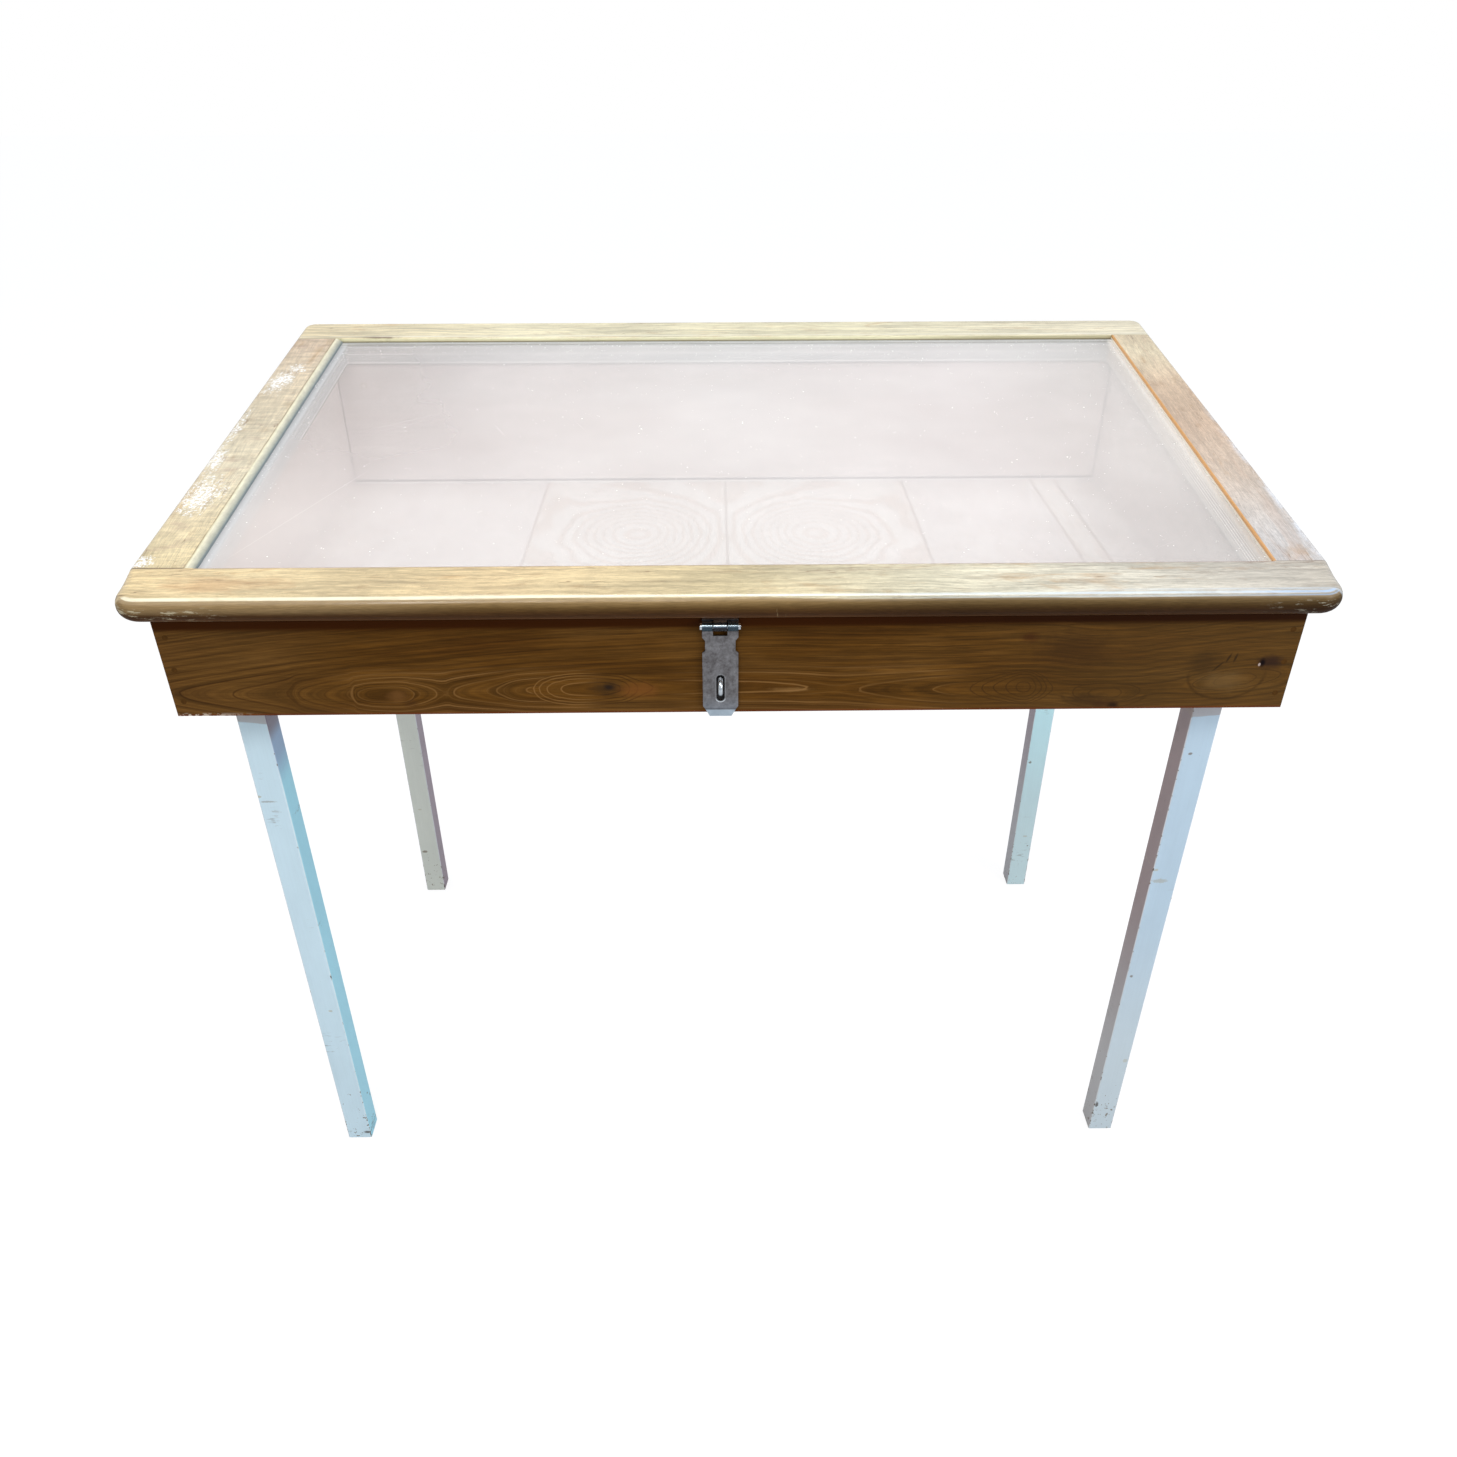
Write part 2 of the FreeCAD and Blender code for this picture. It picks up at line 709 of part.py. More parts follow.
FLOOR_LEFT = "(wall - floor_groove + floor_play)"
MIDDLE = "(%s / 2)" % CASE_WIDTH
INNER_RIGHT = "(%s - wall)" % CASE_WIDTH
FLOOR_RIGHT = "(%s - wall + floor_groove - floor_play)" % CASE_WIDTH
FLOOR_JOINTS = [
    ("floor_board_left", FLOOR_LEFT, "(%s - centre_board)" % MIDDLE),
    ("floor_board_centre_left", "(%s - centre_board)" % MIDDLE, MIDDLE),
    ("floor_board_centre_right", MIDDLE, "(%s + centre_board)" % MIDDLE),
    ("floor_board_right", "(%s + centre_board)" % MIDDLE,
     "(%s - right_end_board - right_strip)" % INNER_RIGHT),
    ("floor_strip_right", "(%s - right_end_board - right_strip)" % INNER_RIGHT,
     "(%s - right_end_board)" % INNER_RIGHT),
    ("floor_board_right_end", "(%s - right_end_board)" % INNER_RIGHT, FLOOR_RIGHT),
]
for label, start, end in FLOOR_JOINTS:
    board = new_body(label, case_place(start, "wall - floor_groove + floor_play", FLOOR_BOTTOM))
    block(board, "Additive", ("0", "0", "0"), ("%s - %s" % (end, start), FLOOR_DEPTH, "floor_thick"))

# Legs under the corners, each on a steel plate and a hanger bolt, two legs to a bearer

LEG_PLACES = {
    "front_left": (LEG_CENTRE_SIDE, LEG_CENTRE_END),
    "front_right": ("(%s - %s)" % (CASE_WIDTH, LEG_CENTRE_SIDE), LEG_CENTRE_END),
    "back_left": (LEG_CENTRE_SIDE, "(case_depth - %s)" % LEG_CENTRE_END),
    "back_right": ("(%s - %s)" % (CASE_WIDTH, LEG_CENTRE_SIDE), "(case_depth - %s)" % LEG_CENTRE_END),
}
BEARER_LENGTH = "(case_depth - 2 * wall - 2 * bearer_end_gap)"
BOLT_LENGTH = "(bolt_depth + plate_thick + bearer_thick - bolt_top_gap)"

for name, (across, behind) in LEG_PLACES.items():
    leg = new_body("leg_" + name, case_place("%s - leg / 2" % across, "%s - leg / 2" % behind, "0"))
    square = new_sketch(leg, "XY_Plane")
    draw_outline(square, [("0", "0"), ("leg", "0"), ("leg", "leg"), ("0", "leg")])
    pad(leg, square, PLATE_BOTTOM)
    upright = []
    for k, edge in enumerate(leg.Tip.Shape.Edges):
        ends = [vertex.Point for vertex in edge.Vertexes]
        if abs(ends[0].z - ends[-1].z) > SMALL:
            upright.append("Edge%d" % (k + 1))
    fillet(leg, upright, "leg_arris")
    bevel_edges(leg, lambda p: near(p.z, "0"), "foot_chamfer")
    rod(leg, "Subtractive", ("leg / 2", "leg / 2", "%s - bolt_depth" % PLATE_BOTTOM),
        "bolt_radius", "bolt_depth")

    plate = new_body("leg_plate_" + name,
                     case_place("%s - plate_size / 2" % across, "%s - plate_size / 2" % behind,
                                PLATE_BOTTOM))
    square = new_sketch(plate, "XY_Plane")
    cut = "plate_corner"
    far = "plate_size - plate_corner"
    draw_outline(square, [(cut, "0"), (far, "0"), ("plate_size", cut), ("plate_size", far),
                          (far, "plate_size"), (cut, "plate_size"), ("0", far), ("0", cut)])
    pad(plate, square, "plate_thick")
    rod(plate, "Subtractive", ("plate_size / 2", "plate_size / 2", "0"), "bolt_radius", "plate_thick")


def leg_points(height):
    return [case_place(across, behind, height).Base for across, behind in LEG_PLACES.values()]


group("hanger_bolts", [Part.makeCylinder(val("bolt_radius"), val(BOLT_LENGTH), point)
                       for point in leg_points("%s - bolt_depth" % PLATE_BOTTOM)])

bearers = {}
for side, across in (("left", "wall"), ("right", "(%s - wall - %s)" % (CASE_WIDTH, BEARER_WIDTH))):
    bearer = new_body("leg_bearer_" + side,
                      case_place(across, "wall + bearer_end_gap", BEARER_BOTTOM))
    block(bearer, "Additive", ("0", "0", "0"), (BEARER_WIDTH, BEARER_LENGTH, "bearer_thick"))
    bearers[side] = bearer
for name, (across, behind) in LEG_PLACES.items():
    bearer = bearers[name.split("_")[1]]
    local = bearer.Placement.inverse().multiply(case_place(across, behind, BEARER_BOTTOM))
    before = volume_of(bearer)
    hole = bearer.newObject("PartDesign::SubtractiveCylinder", bearer.Label + "_bolt_hole")
    bind(hole, Radius="bolt_radius", Height="bearer_thick - bolt_top_gap")
    attach_at(hole, local)
    check_change(bearer, "Subtractive", before)

plate_screw_places = {"left": [], "right": []}
for name, (across, behind) in LEG_PLACES.items():
    plate = [item for item in finished if item.Label == "leg_plate_" + name][0]
    places = []
    for side_x in ("-", "+"):
        for side_y in ("-", "+"):
            reach = "(plate_size / 2 - plate_screw_inset)"
            at = case_place("%s %s %s" % (across, side_x, reach), "%s %s %s" % (behind, side_y, reach),
                            PLATE_BOTTOM)
            places.append(FreeCAD.Placement(at.Base, UPSIDE_DOWN))
    cut_screw_holes(plate, places, "plate_thick")
    plate_screw_places[name.split("_")[1]] += places
for side, places in plate_screw_places.items():
    cut_screw_holes(bearers[side], places, "plate_screw_length", headed=False)
group("leg_plate_screws", [countersunk_screw(place, "plate_screw_length")
                           for places in plate_screw_places.values() for place in places])

# Screws that hold the bearers up against the floor boards

bearer_screw_places = []
BEARER_SCREW_SHARES = (0.3, 0.5, 0.7)
floor_nodes = {item.Label: item for item in finished if item.Label.startswith("floor_")}
for side, board_label in (("left", "floor_board_left"), ("right", "floor_board_right_end")):
    places = []
    for share in BEARER_SCREW_SHARES:
        across = "wall + %s / 2" % BEARER_WIDTH
        if side == "right":
            across = "%s - wall - %s / 2" % (CASE_WIDTH, BEARER_WIDTH)
        at = case_place(across, "case_depth * %s" % share, BEARER_BOTTOM)
        places.append(FreeCAD.Placement(at.Base, UPSIDE_DOWN))
    cut_screw_holes(bearers[side], places, "bearer_screw_length")
    cut_screw_holes(floor_nodes[board_label], places, "bearer_screw_length", headed=False)
    bearer_screw_places += places
group("bearer_screws", [countersunk_screw(place, "bearer_screw_length")
                        for place in bearer_screw_places])

# Nails through the front and back boards into the ends of the side boards

NAIL_SHARES = (0.16, 0.5, 0.84)
nails = []


def nail_solid(point, towards):
    head = Part.makeCylinder(val("nail_head"), val("nail_head_thick"), point, towards)
    shank = Part.makeCylinder(val("nail_radius"), val("nail_length"), point, towards)
    return head.fuse(shank).removeSplitter()


for board, side_at, direction, height in (
        (front_board, "0", 1, board_top("0")),
        (back_board, "case_depth", -1, board_top("case_depth"))):
    for side, across in ((left_side, "wall / 2"), (right_side, "%s - wall / 2" % CASE_WIDTH)):
        for share in NAIL_SHARES:
            at = case_place(across, side_at, "board_bottom + %s * %s" % (height, share))
            towards = V(0, direction, 0)
            nails.append(nail_solid(at.Base, towards))
            turn = TOWARDS_BACK if direction > 0 else FreeCAD.Rotation(X_AXIS, 90)
            for body, radius, length in ((board, "nail_head", "nail_head_thick"),
                                         (board, "nail_radius", "nail_length"),
                                         (side, "nail_radius", "nail_length")):
                before = volume_of(body)
                hole = body.newObject("PartDesign::SubtractiveCylinder", body.Label + "_nail_hole")
                bind(hole, Radius=radius, Height=length)
                attach_at(hole, body.Placement.inverse().multiply(FreeCAD.Placement(at.Base, turn)))
                check_change(body, "Subtractive", before)
group("corner_nails", nails)

# Butt hinges in the sloped joint at the back, their knuckles behind the case

KNUCKLE = "((hinge_length - (%d - 1) * knuckle_gap) / %d)" % (HINGE_KNUCKLES, HINGE_KNUCKLES)


def hinge_leaf(centre, lid_leaf):
    """One leaf: a plate in the joint and every second knuckle of the row."""
    length = val("hinge_length")
    radius = val("hinge_knuckle")
    bore = val("hinge_pin") + (val("running_fit") if lid_leaf else 0)
    reach = val("hinge_reach") + radius + val("hinge_stand_off")
    clear = radius + val("leaf_clear")
    half_gap = val("joint_gap") / 2
    thick = val("hinge_thick")
    start = val(centre) - length / 2
    low = half_gap if lid_leaf else -half_gap - thick
    plate = Part.makeBox(length, reach - clear, thick, V(start, -reach, low))
    knuckle = val(KNUCKLE)
    step = knuckle + val("knuckle_gap")
    first = 1 if lid_leaf else 0
    solid = plate
    for index in range(first, HINGE_KNUCKLES, 2):
        at = start + index * step
        barrel = Part.makeCylinder(radius, knuckle, V(at, 0, 0), X_AXIS)
        web = Part.makeBox(knuckle, clear + thick, thick, V(at, -clear - thick, low))
        solid = solid.fuse(barrel).fuse(web)
    hole = Part.makeCylinder(bore, length, V(start, 0, 0), X_AXIS)
    return solid.cut(hole).removeSplitter()


HINGE_PLACE = lid_place("0", HINGE_S, "0 - %s" % HINGE_N)
HINGE_CENTRES = ["0 - %s / 2 + hinge_inset" % CASE_WIDTH, "0", "%s / 2 - hinge_inset" % CASE_WIDTH]
HINGE_SCREW_SHARES = (-0.36, 0, 0.36)


def placed(solid, placement):
    solid.Placement = placement
    return solid


def hinge_screw_points(upper):
    """Screw places on each leaf, heads in the joint."""
    row = "(hinge_stand_off + hinge_knuckle + hinge_reach * %s)" % SCREW_ROW_SHARE
    places = []
    for centre in HINGE_CENTRES:
        for share in HINGE_SCREW_SHARES:
            gap = "joint_gap / 2" if upper else "0 - joint_gap / 2"
            at = FreeCAD.Placement(V(val("%s + hinge_length * %s" % (centre, share)),
                                     -val(row), val(gap)),
                                   UPSIDE_DOWN if upper else FreeCAD.Rotation())
            places.append(HINGE_PLACE.multiply(at))
    return places


def drilled(solid, places, length, head):
    """Cut countersunk holes into a plain solid."""
    for place in places:
        solid = solid.cut(countersunk_screw(place, length, head))
    return solid


lid_screws = hinge_screw_points(True)
case_screws = hinge_screw_points(False)
lid_leaves = [drilled(placed(hinge_leaf(centre, True), HINGE_PLACE), lid_screws,
                      "hinge_screw_length", "hinge_screw_head") for centre in HINGE_CENTRES]
case_leaves = [drilled(placed(hinge_leaf(centre, False), HINGE_PLACE), case_screws,
                       "hinge_screw_length", "hinge_screw_head") for centre in HINGE_CENTRES]
group("hinge_lid_leaves", lid_leaves)
group("hinge_case_leaves", case_leaves)
group("hinge_lid_screws", [countersunk_screw(place, "hinge_screw_length", "hinge_screw_head")
                           for place in lid_screws])
group("hinge_case_screws", [countersunk_screw(place, "hinge_screw_length", "hinge_screw_head")
                            for place in case_screws])
hinge_pins = []
for centre in HINGE_CENTRES:
    start = val("%s - hinge_length / 2" % centre)
    head = val("hinge_pin_head")
    pin = Part.makeCylinder(val("hinge_pin"), val("hinge_length"), V(start, 0, 0), X_AXIS)
    for at in (start - head, start + val("hinge_length")):
        pin = pin.fuse(Part.makeCylinder(val("hinge_pin") + head, head, V(at, 0, 0), X_AXIS))
    hinge_pins.append(placed(pin.removeSplitter(), HINGE_PLACE))
group("hinge_pins", hinge_pins)

# Recesses that the hinge leaves lie in, and the holes of their screws

for centre in HINGE_CENTRES:
    for body, low in ((rim_back, "joint_gap / 2"), (back_board, "0 - joint_gap / 2 - hinge_thick")):
        before = volume_of(body)
        recess = body.newObject("PartDesign::SubtractiveBox", body.Label + "_recess")
        bind(recess, Length="hinge_length + 2 * rim_play",
             Width="hinge_reach + rim_play + hinge_stand_off + hinge_knuckle",
             Height="hinge_thick")
        at = FreeCAD.Placement(
            V(val("%s - hinge_length / 2 - rim_play" % centre),
              val("0 - hinge_reach - hinge_stand_off - hinge_knuckle - rim_play"), val(low)),
            FreeCAD.Rotation())
        attach_at(recess, body.Placement.inverse().multiply(HINGE_PLACE).multiply(at))
        check_change(body, "Subtractive", before)
cut_screw_holes(rim_back, lid_screws, "hinge_screw_length", headed=False)
cut_screw_holes(back_rail, lid_screws, "hinge_screw_length", headed=False)
cut_screw_holes(back_board, case_screws, "hinge_screw_length", headed=False)

# Hasp: a leaf under the rim, a strap that hangs over the staple, and the pin through both

HASP_PLACE = lid_place("hasp_x", HASP_S, "0 - %s" % HASP_N)
HASP_UPRIGHT = FreeCAD.Placement(HASP_PLACE.Base, FreeCAD.Rotation())

leaf = new_body("hasp_leaf", HASP_PLACE)
block(leaf, "Additive", ("0 - hasp_width / 2", "hasp_knuckle + leaf_clear",
                         "hasp_knuckle - hasp_thick"),
      ("hasp_width", "hasp_leaf_depth + hasp_play + staple_thick", "hasp_thick"))
block(leaf, "Additive", ("0 - hasp_centre_knuckle / 2", "0", "hasp_knuckle - hasp_thick"),
      ("hasp_centre_knuckle", "hasp_knuckle + leaf_clear + hasp_thick", "hasp_thick"))
rod(leaf, "Additive", ("0 - hasp_centre_knuckle / 2", "0", "0"), "hasp_knuckle",
    "hasp_centre_knuckle", ALONG_X)
rod(leaf, "Subtractive", ("0 - hasp_centre_knuckle / 2", "0", "0"), "hasp_pin + running_fit",
    "hasp_centre_knuckle", ALONG_X)

strap = new_body("hasp_strap", HASP_UPRIGHT)
side_view = new_sketch(strap, "YZ_Plane", "0 - hasp_width / 2")
back = "hasp_knuckle"
face = "(hasp_knuckle - hasp_thick)"
draw_outline(side_view, [(back, "0"), (face, "0"), (face, "0 - hasp_lip_start"),
                         ("%s - hasp_lip_out" % face, "0 - hasp_length"),
                         ("%s - hasp_lip_out" % back, "0 - hasp_length"),
                         (back, "0 - hasp_lip_start")])
pad(strap, side_view, "hasp_width")
rod(strap, "Additive", ("0 - hasp_width / 2", "0", "0"), "hasp_knuckle", "hasp_width", ALONG_X)
rod(strap, "Subtractive", ("0 - hasp_width / 2", "0", "0"), "hasp_pin", "hasp_width", ALONG_X)
window_half = "(hasp_centre_knuckle / 2 + knuckle_gap)"
block(strap, "Subtractive", ("0 - %s" % window_half, "0 - hasp_knuckle", "0 - hasp_window"),
      ("2 * %s" % window_half, "2 * hasp_knuckle", "hasp_window + hasp_knuckle"))
half = "(hasp_width / 2)"
waist = "(hasp_width / 2 - hasp_waist_cut)"
tip = "(hasp_tip_width / 2)"
for mirror in ("", "0 - "):
    notch = new_sketch(strap, "XZ_Plane")
    draw_outline(notch, [("%s(%s + hasp_thick)" % (mirror, half), "0 - hasp_wing"),
                         ("%s%s" % (mirror, half), "0 - hasp_wing"),
                         ("%s%s" % (mirror, waist), "0 - hasp_waist_top"),
                         ("%s%s" % (mirror, waist), "0 - hasp_waist_bottom"),
                         ("%s%s" % (mirror, half), "0 - hasp_waist_end"),
                         ("%s(%s + hasp_thick)" % (mirror, half), "0 - hasp_waist_end")])
    pocket(strap, notch, "hasp_knuckle")
    corner = new_sketch(strap, "XZ_Plane", "hasp_knuckle + hasp_thick")
    draw_outline(corner, [("%s(%s + hasp_thick)" % (mirror, half), "0 - hasp_tip_start"),
                          ("%s%s" % (mirror, half), "0 - hasp_tip_start"),
                          ("%s%s" % (mirror, tip), "0 - hasp_length"),
                          ("%s%s" % (mirror, tip), "0 - hasp_length - hasp_thick"),
                          ("%s(%s + hasp_thick)" % (mirror, half), "0 - hasp_length - hasp_thick")])
    pocket(strap, corner, "3 * hasp_knuckle")
block(strap, "Subtractive", ("0 - slot_width / 2", "0", "0 - slot_bottom + slot_width / 2"),
      ("slot_width", "hasp_knuckle", "slot_bottom - slot_top - slot_width"))
for height in ("0 - slot_top - slot_width / 2", "0 - slot_bottom + slot_width / 2"):
    rod(strap, "Subtractive", ("0", "0", height), "slot_width / 2", "hasp_knuckle", TOWARDS_BACK)

pin = new_body("hasp_pin", HASP_UPRIGHT)
rod(pin, "Additive", ("0 - hasp_width / 2 - hasp_pin_out", "0", "0"), "hasp_pin",
    "hasp_width + 2 * hasp_pin_out", ALONG_X)
for start in ("0 - hasp_width / 2 - hasp_pin_out", "hasp_width / 2"):
    rod(pin, "Additive", (start, "0", "0"), "hasp_pin + hasp_pin_out / 2", "hasp_pin_out", ALONG_X)

leaf_screw_places = []
for side in ("0 - hasp_leaf_screw_x", "hasp_leaf_screw_x"):
    row = "hasp_knuckle + leaf_clear + hasp_leaf_depth * %s + staple_thick" % SCREW_ROW_SHARE
    at = FreeCAD.Placement(V(val(side), val(row), val("hasp_knuckle - hasp_thick")), UPSIDE_DOWN)
    leaf_screw_places.append(HASP_PLACE.multiply(at))
cut_screw_holes(leaf, leaf_screw_places, "hasp_thick + hasp_thick")
cut_screw_holes(rim_front, leaf_screw_places, "rim_screw_length", headed=False)
cut_screw_holes(front_rail, leaf_screw_places, "rim_screw_length", headed=False)
group("hasp_leaf_screws", [countersunk_screw(place, "rim_screw_length")
                           for place in leaf_screw_places])

# Notch in the front board's top edge that the hasp leaf closes into

before = volume_of(front_board)
notch = front_board.newObject("PartDesign::SubtractiveBox", "front_board_leaf_notch")
bind(notch, Length="hasp_width + 2 * hasp_play", Width="2 * hasp_leaf_depth + hasp_knuckle",
     Height="hasp_thick + hasp_play + joint_gap")
notch_at = FreeCAD.Placement(V(val("0 - hasp_width / 2 - hasp_play"), 0,
                               val("hasp_knuckle - hasp_thick - hasp_play")), FreeCAD.Rotation())
attach_at(notch, front_board.Placement.inverse().multiply(HASP_PLACE).multiply(notch_at))
check_change(front_board, "Subtractive", before)

# Staple: a plate on the board and a wire loop through the strap's slot

STAPLE_X = "(%s / 2 + hasp_x)" % CASE_WIDTH
HASP_HEIGHT = "(lid_front_height - %s)" % HASP_DROP
STAPLE_Z = "(%s - staple_drop)" % HASP_HEIGHT
staple_plate = new_body("staple_plate",
                        case_place("%s - staple_plate_width / 2" % STAPLE_X, "0 - staple_thick",
                                   "%s - staple_plate_height / 2" % STAPLE_Z))
block(staple_plate, "Additive", ("0", "0", "0"),
      ("staple_plate_width", "staple_thick", "staple_plate_height"))
staple_centre = case_place(STAPLE_X, "0", STAPLE_Z)

loop_body = new_body("staple_loop", staple_centre)
path = new_sketch(loop_body, "YZ_Plane")
half_loop = val("staple_half")
front_reach = val("staple_out")
sink_depth = val("staple_sink")
upper = path.addGeometry(Part.LineSegment(V(sink_depth, half_loop, 0),
                                          V(-front_reach, half_loop, 0)), False)
bend = path.addGeometry(Part.Arc(V(-front_reach, half_loop, 0),
                                 V(-front_reach - half_loop, 0, 0),
                                 V(-front_reach, -half_loop, 0)), False)
lower = path.addGeometry(Part.LineSegment(V(-front_reach, -half_loop, 0),
                                          V(sink_depth, -half_loop, 0)), False)
path.addConstraint(Sketcher.Constraint("Coincident", upper, 2, bend, 1))
path.addConstraint(Sketcher.Constraint("Coincident", bend, 2, lower, 1))
path.addConstraint(Sketcher.Constraint("Horizontal", upper))
path.addConstraint(Sketcher.Constraint("Horizontal", lower))
hold(path, "DistanceX", -1, 1, upper, 1, "staple_sink")
hold(path, "DistanceY", -1, 1, upper, 1, "staple_half")
hold(path, "DistanceX", -1, 1, bend, 3, "0 - staple_out")
hold(path, "DistanceY", -1, 1, bend, 3, "0")
hold(path, "DistanceX", -1, 1, lower, 2, "staple_sink")
ring = loop_body.newObject("Sketcher::SketchObject", "staple_loop_section")
ring.AttachmentSupport = [(origin_plane(loop_body, "XZ_Plane"), "")]
ring.MapMode = "FlatFace"
ring.AttachmentOffset = FreeCAD.Placement(V(0, 0, -sink_depth), FreeCAD.Rotation())
ring.setExpression("AttachmentOffset.Base.z", ex("0 - staple_sink"))
draw_circle(ring, "0", "staple_half", "staple_wire")
doc.recompute()
sweep = loop_body.newObject("PartDesign::AdditivePipe", "staple_loop_sweep")
sweep.Profile = ring
sweep.Spine = path
doc.recompute()

staple_screw_places = []
for across in ("0 - staple_screw_x", "staple_screw_x"):
    for height in ("0 - staple_screw_z", "staple_screw_z"):
        base = staple_centre.Base + V(val(across), -val("staple_thick"), val(height))
        staple_screw_places.append(FreeCAD.Placement(base, FreeCAD.Rotation(X_AXIS, 90)))
cut_screw_holes(staple_plate, staple_screw_places, None)
cut_screw_holes(front_board, staple_screw_places, "staple_screw_length", headed=False)
group("staple_screws", [countersunk_screw(place, "staple_screw_length")
                        for place in staple_screw_places])
for height in ("0 - staple_half", "staple_half"):
    base = staple_centre.Base + V(0, -val("staple_thick"), val(height))
    for body in (staple_plate, front_board):
        before = volume_of(body)
        hole = body.newObject("PartDesign::SubtractiveCylinder", body.Label + "_wire_hole")
        bind(hole, Radius="staple_wire", Height="staple_thick + staple_sink")
        attach_at(hole, body.Placement.inverse().multiply(FreeCAD.Placement(base, TOWARDS_BACK)))
        check_change(body, "Subtractive", before)

# Screws that hold the rim up under the lid frame

rim_screws = []
RIM_LONG_SHARES = (0.06, 0.35, 0.65, 0.94)
RIM_SHORT_SHARES = (0.15, 0.5, 0.85)


def rim_screw_place(across, along):
    at = lid_place(across, along, "0 - %s" % UNDERSIDE)
    return at.multiply(FreeCAD.Placement(V(0, 0, 0), UPSIDE_DOWN))


front_row = "(%s + (front_rail - rebate - %s) / 2)" % (RIM_FRONT, RIM_FRONT)
back_row = "(%s + rebate + (%s - %s - rebate) / 2)" % (BACK_EDGE, RIM_BACK, BACK_EDGE)
for rim, rail, row in ((rim_front, front_rail, front_row), (rim_back, back_rail, back_row)):
    places = [rim_screw_place("%s * %s + %s" % (CASE_WIDTH, share, RIM_LEFT), row)
              for share in RIM_LONG_SHARES]
    cut_screw_holes(rim, places, "rim_screw_length")
    cut_screw_holes(rail, places, "rim_screw_length", headed=False)
    rim_screws += places
LEFT_ROW = "(%s + (left_stile - overhang_side - rebate) / 2)" % RIM_LEFT
RIGHT_ROW = "(0 - %s - (right_stile - overhang_side - rebate) / 2)" % RIM_LEFT
for rim, side_stile, row in ((rim_left, left_stile, LEFT_ROW), (rim_right, right_stile, RIGHT_ROW)):
    places = [rim_screw_place(row, "front_rail + %s * %s" % (STILE_LENGTH, share))
              for share in RIM_SHORT_SHARES]
    cut_screw_holes(rim, places, "rim_screw_length")
    cut_screw_holes(side_stile, places, "rim_screw_length", headed=False)
    rim_screws += places
group("rim_screws", [countersunk_screw(place, "rim_screw_length") for place in rim_screws])

nose_rail(front_rail)

# Check every object, then write one file for each piece

doc.recompute()
for item in doc.Objects:
    if "Invalid" in item.State or "Error" in item.State:
        raise RuntimeError("%s failed: %s" % (item.Label, item.State))
os.makedirs("parts", exist_ok=True)
for item in finished:
    shape = item.Shape
    if shape.isNull() or not shape.isValid() or shape.Volume <= 0:
        raise RuntimeError("%s has no valid shape" % item.Label)
    shape.exportStep(os.path.join("parts", item.Label + ".step"))
print("pieces", len(finished))
print("hinge axis", HINGE_PLACE.Base, "hasp axis", HASP_PLACE.Base)
whole = Part.makeCompound([item.Shape for item in finished]).BoundBox
print("box", whole)
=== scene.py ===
import math

import bpy
from mathutils import Euler, Matrix, Vector

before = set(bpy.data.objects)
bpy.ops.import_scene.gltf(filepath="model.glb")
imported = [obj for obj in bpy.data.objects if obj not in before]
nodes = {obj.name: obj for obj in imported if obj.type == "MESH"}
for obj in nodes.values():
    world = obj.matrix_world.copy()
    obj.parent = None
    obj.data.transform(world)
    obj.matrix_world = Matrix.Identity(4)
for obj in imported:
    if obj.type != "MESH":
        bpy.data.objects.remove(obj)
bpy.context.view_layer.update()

# Places of the part, in metres, as the frame has them

LID_Y = -0.3642202
LID_Z = 0.874
SLOPE = math.radians(7.25)
LID_LENGTH = 0.730
LID_HALF = 0.600
LEFT_STILE = 0.0645
RIGHT_STILE = 0.055
BEAD = 0.0095
FRONT_RAIL = 0.064
BACK_RAIL = 0.060
CASE_HALF = 0.576
CASE_FRONT = -0.3342202
CASE_BACK = 0.3297438
WALL = 0.020
BOARD_BOTTOM = 0.730
FLOOR_TOP = 0.743
HASP_X = -0.012
BEAD_X = -LID_HALF + LEFT_STILE - BEAD
GLASS_LEFT = -LID_HALF + LEFT_STILE
GLASS_RIGHT = LID_HALF - RIGHT_STILE
GLASS_BACK = LID_LENGTH - BACK_RAIL
PIN_Y = CASE_FRONT - 0.0074
PIN_Z = 0.83363
SLOT_Z = 0.7611
STAPLE_Z = 0.7612
SLOT_HALF = 0.0113
SLOT_RADIUS = 0.0043
# Growth rings for each metre of height in the plain dark boards
RINGS = 240.0


def linear(red, green, blue):
    """A colour written as 0 to 255 screen values, as the shader wants it."""
    out = []
    for value in (red, green, blue):
        value /= 255.0
        out.append(value / 12.92 if value <= 0.04045 else ((value + 0.055) / 1.055) ** 2.4)
    return (out[0], out[1], out[2], 1.0)


# Material building

class Value:
    """One output of a material's nodes, which can be added, multiplied and so on."""

    def __init__(self, shade, socket):
        self.shade = shade
        self.socket = socket

    def __add__(self, other):
        return self.shade.math("ADD", self, other)

    def __radd__(self, other):
        return self.shade.math("ADD", other, self)

    def __sub__(self, other):
        return self.shade.math("SUBTRACT", self, other)

    def __rsub__(self, other):
        return self.shade.math("SUBTRACT", other, self)

    def __mul__(self, other):
        return self.shade.math("MULTIPLY", self, other)

    def __truediv__(self, other):
        return self.shade.math("DIVIDE", self, other)

    def __abs__(self):
        return self.shade.math("ABSOLUTE", self)


